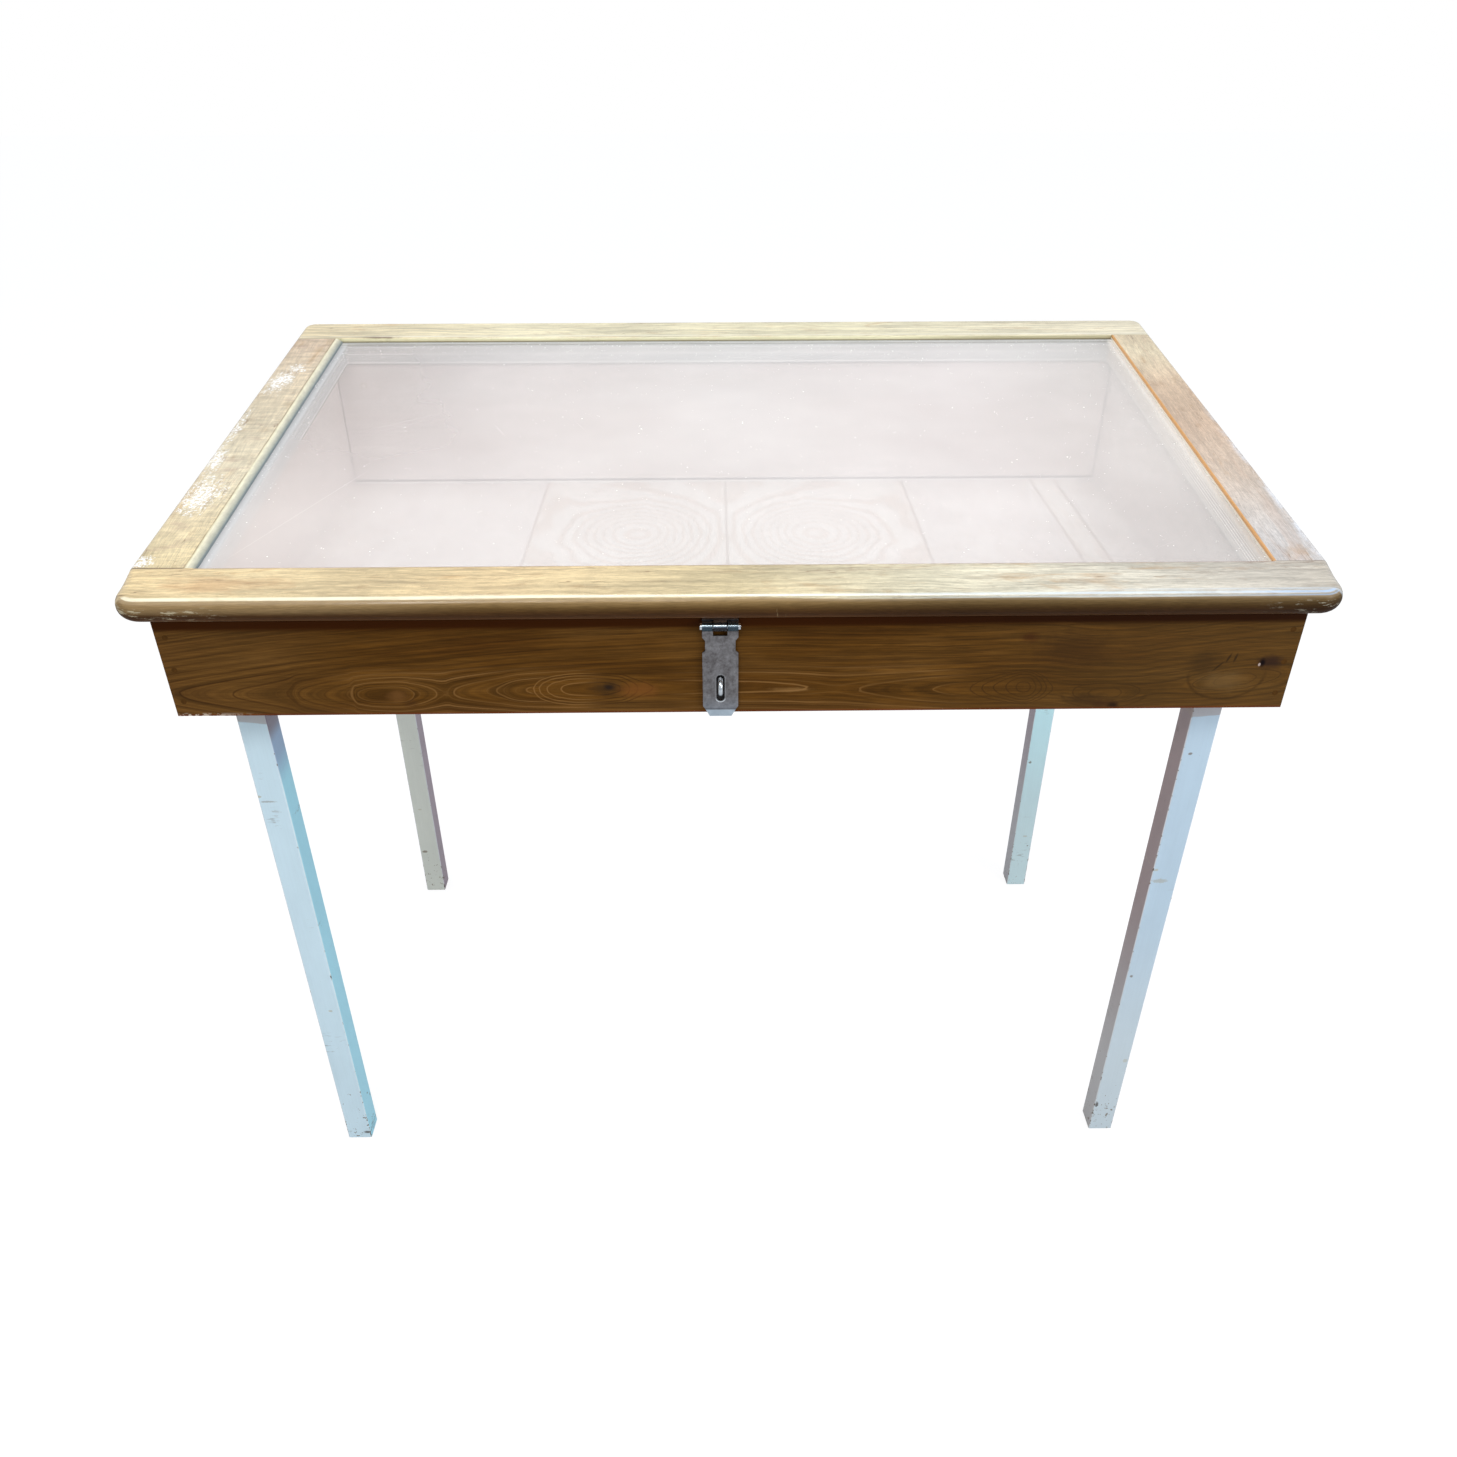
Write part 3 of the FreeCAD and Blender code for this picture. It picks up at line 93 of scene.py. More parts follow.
class Shade:
    """A procedural material, put together from nodes with short calls. Its colour grows layer by layer."""

    def __init__(self, name):
        self.material = bpy.data.materials.new(name)
        self.material.use_nodes = True
        self.tree = self.material.node_tree
        self.tree.nodes.clear()
        out = self.node("OutputMaterial")
        self.bsdf = self.node("BsdfPrincipled")
        self.tree.links.new(self.bsdf.outputs[0], out.inputs[0])
        self.place = Value(self, self.node("TexCoord").outputs["Object"])
        self.normal = Value(self, self.node("TexCoord").outputs["Normal"])

    def node(self, kind, *values, **settings):
        """A new node, with its settings and its first inputs filled in."""
        node = self.tree.nodes.new("ShaderNode" + kind)
        for name, setting in settings.items():
            setattr(node, name, setting)
        for socket, value in zip(node.inputs, values):
            self.put(socket, value)
        return node

    def value(self, kind, *values, **settings):
        """The first output of a new node."""
        return Value(self, self.node(kind, *values, **settings).outputs[0])

    def put(self, socket, value):
        """Link a value, or set a number or a colour written as 0 to 255."""
        if isinstance(value, Value):
            self.tree.links.new(value.socket, socket)
        else:
            socket.default_value = linear(*value) if isinstance(value, tuple) else value

    def math(self, kind, first, second=0.0, third=0.0, clamp=False):
        return self.value("Math", first, second, third, operation=kind, use_clamp=clamp)

    def most(self, first, second):
        return self.math("MAXIMUM", first, second)

    def least(self, first, second):
        return self.math("MINIMUM", first, second)

    def root(self, value):
        return self.math("SQRT", value)

    def part(self, value):
        """What is left of a value above its whole number."""
        return self.math("FRACT", value)

    def hill(self, far):
        """One where the squared distance is nothing, falling off smoothly."""
        return self.math("EXPONENT", far * -1.0)

    def span(self, value, low, high, start=0.0, end=1.0):
        """Map a value smoothly from low..high to start..end."""
        return self.value("MapRange", value, low, high, start, end, interpolation_type="SMOOTHSTEP")

    def sway(self, pattern, start=0.0, end=1.0):
        """Map the middle part of a noise to start..end."""
        return self.span(pattern, 0.3, 0.7, start, end)

    def split(self, vector):
        node = self.node("SeparateXYZ", vector)
        return [Value(self, node.outputs[at]) for at in range(3)]

    def join(self, x, y, z):
        return self.value("CombineXYZ", x, y, z)

    def noise(self, x, y, z, detail=2.0, rough=0.5, twist=0.0, scale=1.0):
        node = self.node("TexNoise", self.join(x, y, z))
        for name, value in (("Scale", scale), ("Detail", detail), ("Roughness", rough),
                            ("Distortion", twist)):
            node.inputs[name].default_value = value
        return Value(self, node.outputs[0])

    def cells(self, x, y, z):
        """Distance from the nearest of scattered points."""
        node = self.node("TexVoronoi", self.join(x, y, z))
        node.inputs["Scale"].default_value = 1.0
        return Value(self, node.outputs[0])

    def ramp(self, value, stops):
        node = self.node("ValToRGB", value)
        marks = node.color_ramp.elements
        while len(marks) < len(stops):
            marks.new(0.5)
        for mark, (place, colour) in zip(marks, stops):
            mark.position = place
            mark.color = linear(*colour)
        return Value(self, node.outputs[0])

    def curve(self, value, points):
        """A smooth curve through points, both ways from nothing to one."""
        node = self.node("FloatCurve")
        line = node.mapping.curves[0]
        line.points[0].location = points[0]
        line.points[1].location = points[-1]
        for place in points[1:-1]:
            line.points.new(place[0], place[1])
        node.mapping.update()
        self.put(node.inputs["Value"], value)
        return Value(self, node.outputs[0])

    def mix(self, amount, first, second, kind="MIX"):
        node = self.node("Mix", amount, data_type="RGBA", blend_type=kind)
        self.put(node.inputs[6], first)
        self.put(node.inputs[7], second)
        return Value(self, node.outputs[2])

    def shade(self, colour, amount):
        """Darken or lighten a colour by a factor."""
        return self.mix(1.0, colour, self.join(amount, amount, amount), "MULTIPLY")

    def lay(self, amount, tone):
        """Lay a tone over the material's colour."""
        self.colour = self.mix(amount, self.colour, tone)

    def fade(self, amount):
        """Darken or lighten the material's colour."""
        self.colour = self.shade(self.colour, amount)

    def vary(self, pattern, dark, light, low=0.3, high=0.7):
        """Darken and lighten the material's colour by a pattern."""
        self.fade(self.span(pattern, low, high, dark, light))

    def spot(self, x, y, centre, size, soft=0.5, wobble=None):
        """One at the centre of an oval, falling to nothing at its edge."""
        across = (x - centre[0]) / size[0]
        up = (y - centre[1]) / size[1]
        far = self.root(across * across + up * up)
        if wobble is not None:
            far = far + wobble
        return self.span(far, 1.0, 1.0 - soft)

    def band(self, value, low, high, soft):
        """One between two values, with soft edges."""
        return self.span(value, low - soft, low + soft) * self.span(value, high + soft, high - soft)

    def bump(self, height, strength, distance):
        node = self.node("Bump")
        for name, value in (("Strength", strength), ("Distance", distance), ("Height", height)):
            self.put(node.inputs[name], value)
        return Value(self, node.outputs[0])

    def finish(self, roughness, normal, **sockets):
        sockets.update({"Base Color": self.colour, "Roughness": roughness, "Normal": normal})
        for name, value in sockets.items():
            self.put(self.bsdf.inputs[name.replace("_", " ")], value)
        return self.material

    def lid_axes(self):
        """Across, along the slope and square to the lid, in metres."""
        x, y, z = self.split(self.place)
        y = y - LID_Y
        z = z - LID_Z
        along = y * math.cos(SLOPE) + z * math.sin(SLOPE)
        over = z * math.cos(SLOPE) - y * math.sin(SLOPE)
        return x, along, over


def dress(material, *names):
    """Give every slot of CAD nodes one material."""
    for name in names:
        thing = nodes[name]
        if not thing.material_slots:
            thing.data.materials.append(material)
        for place in thing.material_slots:
            place.link = "OBJECT"
            place.material = material


# Varnished, worn frame of the lid

def frame_wood(name, seed, lengthwise, tints, rough_wood, streaky=1):
    """Streaked, blotched wood; tints are colours from one end of the piece to the other."""
    s = Shade(name)
    x, along, over = s.lid_axes()
    run, side = (x, along) if lengthwise else (along, x)
    share = (x + LID_HALF) / (2 * LID_HALF) if lengthwise else along / LID_LENGTH
    run = run + seed * 3.1
    side_in = side + seed * 0.7
    slow = s.noise(run * 5, side_in * 26, over * 20, 4, 0.6)
    wander = (s.noise(run * 7, side_in * 14, 0, 3) - 0.5) * 0.02
    ring_at = side_in + wander + over * 0.6
    streak = s.noise(run * 6, ring_at * 190, over * 60, 6, 0.65)
    fibre = s.noise(run * 60, ring_at * 1100, over * 700, 4, 0.65)

    s.colour = s.ramp(share, tints)
    s.vary(slow, 1 - 0.24 * streaky, 1 + 0.1 * streaky, 0.28, 0.7)
    s.vary(streak, 1 - 0.28 * streaky, 1 + 0.12 * streaky, 0.3, 0.68)
    s.vary(fibre, 0.8, 1.12)

    # blotches where the varnish has darkened, and small tan ones
    s.lay(s.span(s.noise(run * 9, side_in * 34, 3.7, 5, 0.65, 0.6), 0.55, 0.74) * 0.55, (188, 146, 92))
    s.lay(s.span(s.noise(run * 26, side_in * 90, 8.1, 4, 0.65), 0.56, 0.72) * 0.3, (160, 122, 80))

    # splits and hairs along the grain, and pores
    thin = s.span(abs(s.noise(run * 7, ring_at * 150, 1.3, 3, 0.55) - 0.5), 0.014, 0.003)
    where = s.span(s.noise(run * 9, side_in * 40, 6.1, 3), 0.54, 0.64)
    crack = thin * where
    s.lay(crack * 0.62, (118, 84, 54))
    s.lay(s.span(s.noise(run * 130, side_in * 900, 2.2, 2), 0.66, 0.76) * 0.32, (134, 100, 62))

    # short marks across the grain, in patches
    cross_at = s.noise(run * 820, side_in * 75, 4, 3, 0.6)
    cross_in = s.span(s.noise(run * 15, side_in * 26, 12, 3, 0.6), 0.46, 0.6)
    cross = s.span(cross_at, 0.58, 0.68) * (cross_in * rough_wood)
    s.lay(cross * 0.55, (142, 112, 74))
    s.lay(s.span(cross_at, 0.4, 0.31) * (cross_in * rough_wood) * 0.4, (250, 240, 214))
    crack = s.most(crack, cross * 0.5)

    # painted shade: the rounded front is painted darker quickly below its top edge, lighter at its left end
    # and towards the right
    level = over + (s.noise(x * 5, along * 5, over * 240, 4, 0.65) - 0.5) * 0.003
    down = level / -0.026
    level = level + s.span(x, 0, 0.12, 0, 0.0018)
    nose = s.ramp(down,
                  [(0.05, (180, 157, 118)), (0.12, (160, 134, 94)), (0.2, (132, 107, 69)),
                   (0.34, (102, 78, 45)), (0.5, (80, 55, 28)), (0.66, (70, 44, 22)), (0.86, (86, 57, 33))])
    bright_end = s.span(x, -0.22, -0.46) * s.span(down, 0.62, 0.36)
    nose = s.mix(bright_end * 0.34, nose, (178, 152, 112))
    nose = s.shade(nose, s.span(x, 0, 0.35, 1, 1.17))
    nose = s.shade(nose, s.sway(fibre, 0.8, 1.16))
    in_front = s.span(along, 0.015, 0.01)
    s.lay(in_front * s.span(level, -0.001, -0.0018), nose)
    # painted light: the underside of the nose is laid a lighter brown, to make up for the little light that
    # reaches it
    under = s.span(over, -0.019, -0.0235)
    s.lay(under * 0.85, (108, 74, 46))
    sooner = level - s.span(x, -0.35, -0.12, 0, 0.0014)
    s.gloss = 1 - s.most(in_front * s.span(sooner, -0.003, -0.0056), under)
    s.streak = streak
    s.fibre = fibre
    return (s, x, along, over, crack)


def finish_frame(s, crack, worn=0):
    height = s.streak * 0.6 + s.fibre * 0.4 - crack * 1.6
    rough = s.sway(s.streak, 0.34, 0.46) + worn * 0.25
    return s.finish(rough, s.bump(height, 0.35, 0.0006), Coat_Weight=s.gloss * 0.6, Coat_Roughness=0.13,
                    Specular_IOR_Level=0.06 + s.gloss * 0.34)


def joint_line(s, x, along, at, low, high, amount):
    """The dark line of a joint across the frame, between two places across."""
    shift = (s.noise(x * 60, 0, 1, 2) - 0.5) * 0.0006
    line = s.span(abs(along - at + shift), 0.0011, 0.0004) * s.band(x, low, high, 0.002)
    s.lay(line * amount, (66, 44, 26))


def front_rail_material():
    # tints along the rail; the pale, cool ones right of the middle are a painted sheen of light reflected on
    # the varnish
    tints = [(0, (244, 217, 164)), (0.1, (244, 221, 172)), (0.3, (225, 200, 153)), (0.5, (226, 208, 163)),
             (0.66, (236, 228, 199)), (0.8, (228, 222, 204)), (0.92, (209, 202, 189)),
             (1, (202, 194, 180))]
    s, x, along, over, crack = frame_wood("frame_front_wood", 1, True, tints, 0.25)
    warp = (s.noise(x * 26, along * 60, 0.5, 4, 0.65) - 0.5) * 1.5
    top = s.span(over, -0.0035, -0.0018)
    s.fade(1 + s.span(s.noise(x * 52, along * 200, 5, 5, 0.7, 1.4), 0.32, 0.68, -0.11, 0.08) * top)
    stain = s.spot(x, along, (-0.5, 0.034), (0.085, 0.02), 0.8, warp) * top
    s.lay(stain * 0.45, (186, 134, 84))
    # painted highlights: pale lines where the top turns over, twice over towards the right end, bluish at
    # the right corner
    front_part = s.span(along, 0.015, 0.012)
    highlight_wave = s.noise(x * 16, along * 40, 8, 4, 0.65)
    broad_highlight = s.band(over, -0.0019, -0.0009, 0.00022) * s.span(x, -0.18, -0.32)
    highlight_line = s.most(s.band(over, -0.00135, -0.00042, 0.00022), broad_highlight)
    highlight_line = highlight_line * s.span(highlight_wave, 0.25, 0.55, 0.55, 1)
    second = s.band(over + (highlight_wave - 0.5) * 0.0006, -0.003, -0.0023, 0.0003) * s.span(x, 0.04, 0.3)
    highlight_line = s.most(highlight_line, second * 0.5) * front_part
    # painted shade between the highlight lines, right of the middle
    dull = s.span(over, -0.001, -0.0022) * s.span(x, 0.04, 0.24) * front_part
    s.fade(1 - dull * 0.42)
    highlight_tone = s.mix(s.span(x, -0.1, 0.35), (255, 248, 220), (214, 230, 242))
    highlight_tone = s.mix(s.span(x, 0.47, 0.57), highlight_tone, (168, 206, 250))
    s.lay(highlight_line * s.span(x, -0.1, 0.25, 0.88, 0.7), highlight_tone)
    # a painted cool reflection where the top begins, right of the middle
    cool_highlight = s.band(along, 0.0118, 0.0146, 0.0012) * s.span(x, 0.22, 0.52)
    cool_highlight = cool_highlight * (s.span(highlight_wave, 0.3, 0.6, 0.3, 1) * 0.6)
    s.lay(cool_highlight, (206, 222, 238))
    # dark hairs and chips along the edge next to the glass
    line = s.noise(x * 10, along * 300, 4.4, 3, 0.5)
    near_glass = s.band(along, 0.048, 0.0655, 0.004)
    hair = s.span(abs(line - 0.5), 0.02, 0.004) * near_glass * s.span(s.noise(x * 6, 0, 2, 2), 0.42, 0.56)
    s.lay(hair * 0.6, (128, 84, 56))
    edge = s.span(along, 0.0615, 0.0632) * s.band(x, GLASS_LEFT, GLASS_RIGHT, 0.001)
    s.lay(edge * top * s.span(s.noise(x * 22, 0, 7, 4, 0.7), 0.35, 0.6, 0.35, 0.95), (134, 84, 60))
    # painted glints at the left corner of the nose, pale flecks that are also bumped like chips, and dark
    # wear at the right one
    glint_noise = s.noise(x * 60, along * 90, over * 330, 5, 0.7)
    left_corner = s.span(x, -0.47, -0.545) * s.span(over, -0.005, -0.009)
    glint_chips = left_corner * s.span(glint_noise, 0.54, 0.62)
    s.lay(glint_chips * 0.75, (206, 196, 166))
    right_corner = s.span(x, 0.5, 0.585) * s.span(over, -0.004, -0.009)
    s.fade(1 - right_corner * 0.3)
    marks = right_corner * s.span(glint_noise, 0.56, 0.63)
    s.lay(marks * 0.6, (190, 184, 164))
    # thin upright scratches on the nose
    nick = s.noise(x * 260, over * 30, 3, 2)
    nick_in = s.span(s.noise(x * 14, 0, 9, 2), 0.52, 0.64)
    s.lay(s.span(nick, 0.68, 0.74) * nick_in * s.span(over, -0.004, -0.007) * 0.35, (190, 168, 128))
    joint_line(s, x, along, FRONT_RAIL, -LID_HALF, BEAD_X, 0.9)
    joint_line(s, x, along, FRONT_RAIL, GLASS_RIGHT, LID_HALF, 0.3)
    crack = s.most(crack, s.most(hair, s.most(glint_chips, marks) * 0.6))
    return finish_frame(s, crack)


def back_rail_material():
    tints = [(0, (240, 222, 180)), (0.25, (246, 236, 200)), (0.6, (240, 232, 196)),
             (1, (240, 230, 202))]
    s, x, along, over, crack = frame_wood("frame_back_wood", 2, True, tints, 0.4)
    warp = (s.noise(x * 60, along * 160, 0.5, 4, 0.7) - 0.5) * 1.6
    burnt = s.spot(x, along, (-0.487, 0.6735), (0.04, 0.0045), 0.7, warp)
    s.lay(burnt * 0.8, (96, 66, 38))
    # a painted highlight along the rounding of the inner edge; below it the lip is laid pale, darker to the
    # right and olive at its foot
    s.lay(s.band(along, 0.6745, 0.6785, 0.0012) * s.span(s.streak, 0.3, 0.6) * 0.6, (250, 246, 228))
    lip = s.span(along, 0.6716, 0.6704)
    s.lay(lip * 0.7, (222, 218, 178))
    s.lay(lip * s.span(x, 0.2, 0.42) * 0.6, (150, 138, 100))
    olive = s.span(over, -0.0036, -0.0052) * lip
    s.lay(olive * 0.8, (104, 92, 58))
    joint_line(s, x, along, GLASS_BACK, -LID_HALF, BEAD_X, 0.45)
    joint_line(s, x, along, GLASS_BACK, GLASS_RIGHT, LID_HALF, 0.3)
    return finish_frame(s, s.most(crack, burnt))


def left_stile_material():
    tints = [(0, (244, 223, 170)), (0.22, (240, 222, 182)), (0.36, (238, 226, 196)),
             (0.6, (238, 222, 190)), (0.8, (230, 210, 180)), (1, (212, 186, 160))]
    s, x, along, over, crack = frame_wood("frame_left_wood", 3, False, tints, 1.3, 0.55)
    # mottling that runs across the piece
    s.vary(s.noise(along * 120, x * 26, 6, 5, 0.65), 0.82, 1.12, 0.32, 0.68)
    s.lay(s.span(s.noise(along * 55, x * 20, 9, 4, 0.6), 0.54, 0.68) * 0.4, (180, 152, 132))
    # brown-grey shades across the piece
    s.lay(s.span(s.noise(along * 17, x * 12, 2, 3, 0.6), 0.55, 0.72) * 0.5, (176, 150, 112))
    # fine white rubs towards the outer edge
    fine = s.noise(x * 420, along * 330, 1.5, 3, 0.7)
    warp = (s.noise(x * 60, along * 30, 1.5, 4, 0.7) - 0.5) * 1.6
    worn = 0
    for centre, size, amount in (
            ((-0.578, 0.215), (0.03, 0.06), 0.95), ((-0.59, 0.3), (0.014, 0.05), 0.8),
            ((-0.592, 0.385), (0.009, 0.07), 0.75), ((-0.58, 0.52), (0.022, 0.05), 1),
            ((-0.568, 0.565), (0.022, 0.022), 0.8), ((-0.592, 0.075), (0.016, 0.016), 0.9)):
        area = s.spot(x, along, centre, size, 0.9, warp) * amount
        rub = s.span(fine + area * 0.15, 0.59, 0.635)
        rub = rub * s.span(area, 0.03, 0.2)
        worn = s.most(worn, rub)
    s.lay(worn, (254, 253, 250))
    # the bead: painted light and shade across its round, cream with a highlight near its middle, grey-green
    # and blue-grey towards the glass; a crease on one side and a blue-grey foot on the other
    crease_wave = (s.noise(along * 20, 0, 3, 3) - 0.5) * 0.0022
    on_bead = s.span(x + crease_wave, BEAD_X, BEAD_X + 0.0012)
    around = (x - BEAD_X) / BEAD
    bead_light_and_shade = s.ramp(around,
                       [(0, (222, 212, 174)), (0.26, (244, 240, 212)), (0.42, (222, 218, 194)),
                        (0.6, (200, 200, 182)), (0.78, (168, 174, 164)), (0.94, (128, 142, 146))])
    bead_light_and_shade = s.shade(bead_light_and_shade, s.span(s.streak, 0.3, 0.65, 0.94, 1.04))
    bead_light_and_shade = s.shade(bead_light_and_shade, s.sway(s.noise(along * 70, x * 160, 9, 4, 0.7), 0.84, 1.08))
    s.lay(on_bead * 0.88, bead_light_and_shade)
    crease = s.span(abs(x + crease_wave - BEAD_X), 0.0011, 0.0003)
    crease = crease * s.span(s.noise(along * 16, 0, 8, 3), 0.34, 0.52)
    s.lay(crease * 0.62, (132, 108, 72))
    foot = s.span(over, -0.003, -0.005)
    foot = foot * s.span(x, BEAD_X + 0.004, BEAD_X + 0.007)
    s.lay(foot * 0.85, (104, 118, 124))
    joint_line(s, x, along, FRONT_RAIL, -LID_HALF, BEAD_X, 0.9)
    joint_line(s, x, along, GLASS_BACK, -LID_HALF, BEAD_X, 0.45)
    return finish_frame(s, s.most(crack, s.most(crease, worn * -0.3)), worn)


def right_stile_material():
    tints = [(0, (214, 211, 211)), (0.16, (215, 210, 207)), (0.34, (215, 196, 178)),
             (0.52, (214, 186, 160)), (0.68, (222, 194, 164)), (0.84, (240, 224, 190)),
             (1, (230, 206, 166))]
    s, x, along, over, crack = frame_wood("frame_right_wood", 4, False, tints, 0.6, 0.65)
    s.vary(s.noise(along * 22, x * 34, 7, 5, 0.62, 0.8), 0.92, 1.06, 0.32, 0.68)
    s.vary(s.noise(along * 150, x * 210, 3, 5, 0.7, 1.5), 0.9, 1.07, 0.34, 0.66)
    # long soft figure in brown-pink
    soft = s.noise(along * 7, x * 55, 2, 4, 0.55, 1.2)
    s.lay(s.span(soft, 0.5, 0.68) * 0.26, (196, 164, 142))
    # a painted cool highlight along the outer arris of the front half
    outer = s.span(x, LID_HALF - 0.012, LID_HALF - 0.002)
    cool_at = s.noise(along * 34, x * 60, 5, 5, 0.7)
    front_half = s.band(along, 0.06, 0.4, 0.05)
    cool = outer * front_half * s.span(cool_at, 0.4, 0.62)
    s.lay(cool * 0.85, (232, 238, 248))
    # painted light on the inner edge: orange at its top as lit through the glass, and pale cream lower down
    # as a reflected band
    edge_wave = (s.noise(along * 14, 0, 3, 3) - 0.5) * 0.0016
    inner = s.span(x + edge_wave, GLASS_RIGHT + 0.003, GLASS_RIGHT + 0.0016)
    inner_edge_light = s.mix(s.span(over, -0.0026, -0.0036), (218, 156, 78), (250, 242, 226))
    s.lay(inner * 0.9, inner_edge_light)
    joint_line(s, x, along, FRONT_RAIL, GLASS_RIGHT, LID_HALF, 0.3)
    joint_line(s, x, along, GLASS_BACK, GLASS_RIGHT, LID_HALF, 0.3)
    return finish_frame(s, crack)


# Dark boards of the case

def dusty(s, run, y, z, inside):
    """Lay the pale dust of the case's inner faces."""
    dust = s.noise(run * 6, z * 22, y * 6, 4, 0.6)
    s.lay(inside, s.ramp(dust, [(0.3, (228, 217, 214)), (0.7, (239, 231, 229))]))


def contour_board(name, hills, knots, along_x, inner_test):
    """Flat-sawn board: growth lines follow the contours of a field with a hill for each arch."""
    s = Shade(name)
    x, y, z = s.split(s.place)
    run = x if along_x else y
    warp = s.noise(run * 7, z * 30, 0.3, 3, 0.5)
    warp_fine = s.noise(run * 30, z * 160, 0.9, 2, 0.5)
    field = z - BOARD_BOTTOM + (warp - 0.5) * 0.03 + (warp_fine - 0.5) * 0.0022
    for (cx, cz), (wx, wz), height in hills:
        across = (run - cx) / wx
        up = (z - cz) / wz
        field = field + s.hill(across * across + up * up) * height
    turns = field * RINGS
    part = s.part(turns)
    which = s.noise(s.math("FLOOR", turns), run * 2, 0, 1, scale=1.7)
    line = s.span(part, 0.8, 0.93) * s.span(part, 1, 0.965) * s.span(which, 0.38, 0.62)

    slow = s.noise(run * 3, z * 14, 5, 3, 0.55)
    s.colour = s.ramp(slow, [(0.3, (76, 46, 16)), (0.52, (92, 59, 24)), (0.74, (108, 73, 34))])
    grain = s.noise(run * 14, (z + field * 0.7) * 420, y * 80, 4, 0.6)
    s.vary(grain, 0.88, 1.1)
    s.vary(part, 1.06, 0.93, 0, 1)
    side = s.noise(run * 5, z * 9, 8, 1)
    s.lay(line * 0.55, s.mix(s.span(side, 0.42, 0.58), (140, 104, 60), (52, 32, 12)))
    cut = line * 0.3
    for centre, size, amount, tone in knots:
        knot = s.spot(run, z, centre, size, 0.85, (warp_fine - 0.5) * 0.9)
        s.lay(knot * amount, tone)
        cut = s.most(cut, knot * 0.25)
    inside = inner_test(s, x, y)
    dusty(s, run, y, z, inside)
    grain = grain * (1 - inside) + inside * 0.5
    return (s, x, y, z, grain * 0.5 - cut * (1 - inside), grain)


def finish_board(s, height, grain):
    return s.finish(s.sway(grain, 0.42, 0.54), s.bump(height, 0.25, 0.0005), Specular_IOR_Level=0.05)


def across_share(millimetres):
    return (millimetres / 1000 + CASE_HALF) / (2 * CASE_HALF)


# Crown of the growth rings along the front board: the place across in mm, and the ring's number there
CROWN = [(-576, 0.8), (-568, 1), (-513, 2), (-456, 3), (-444, 4), (-418, 5), (-391, 6), (-386, 7),
         (-350, 7.7), (-328, 7), (-304, 6), (-295, 5.75), (-287, 6), (-241, 7), (-211, 8), (-165, 8.4),
         (-126, 8.6), (-60, 8.4), (16, 8.2), (77, 8), (105, 7.8), (134, 8), (211, 9), (247, 9.4),
         (302, 9.6), (342, 9.3), (387, 9.7), (444, 9.2), (521, 10.2), (576, 9.4)]
# Tight arches before the big knot, and the nested ovals right of the middle
TIGHT = [(-576, 0), (-214, 0.3), (-204, 1), (-198, 2), (-190, 3), (-175, 4), (-150, 4.6), (-120, 4.2),
         (-60, 0.5), (225, 0.3), (247, 1), (259, 2), (271, 3), (283, 4), (294, 5), (302, 5.4), (308, 5),
         (314, 4), (320, 3), (325, 2), (332, 1), (343, 0.5), (352, 1), (370, 2), (387, 2.4), (404, 2),
         (424, 1), (440, 0.4), (470, 0.7), (478, 1), (500, 2), (522, 2.5), (541, 2), (566, 1), (576, 0.6)]
# The same crown without its peaks, which the lines follow farther up the board
CALM = [(-576, 0.8), (-420, 4.2), (-250, 6.6), (-60, 7.9), (211, 8.7), (576, 9.5)]
# Height of the crown's line over the board's bottom, in mm
CROWN_LINE = [(-576, 27), (-456, 25), (-350, 24), (-240, 27), (-126, 29), (16, 30), (130, 26), (240, 25),
              (302, 27), (387, 19), (440, 24), (521, 34), (576, 40)]


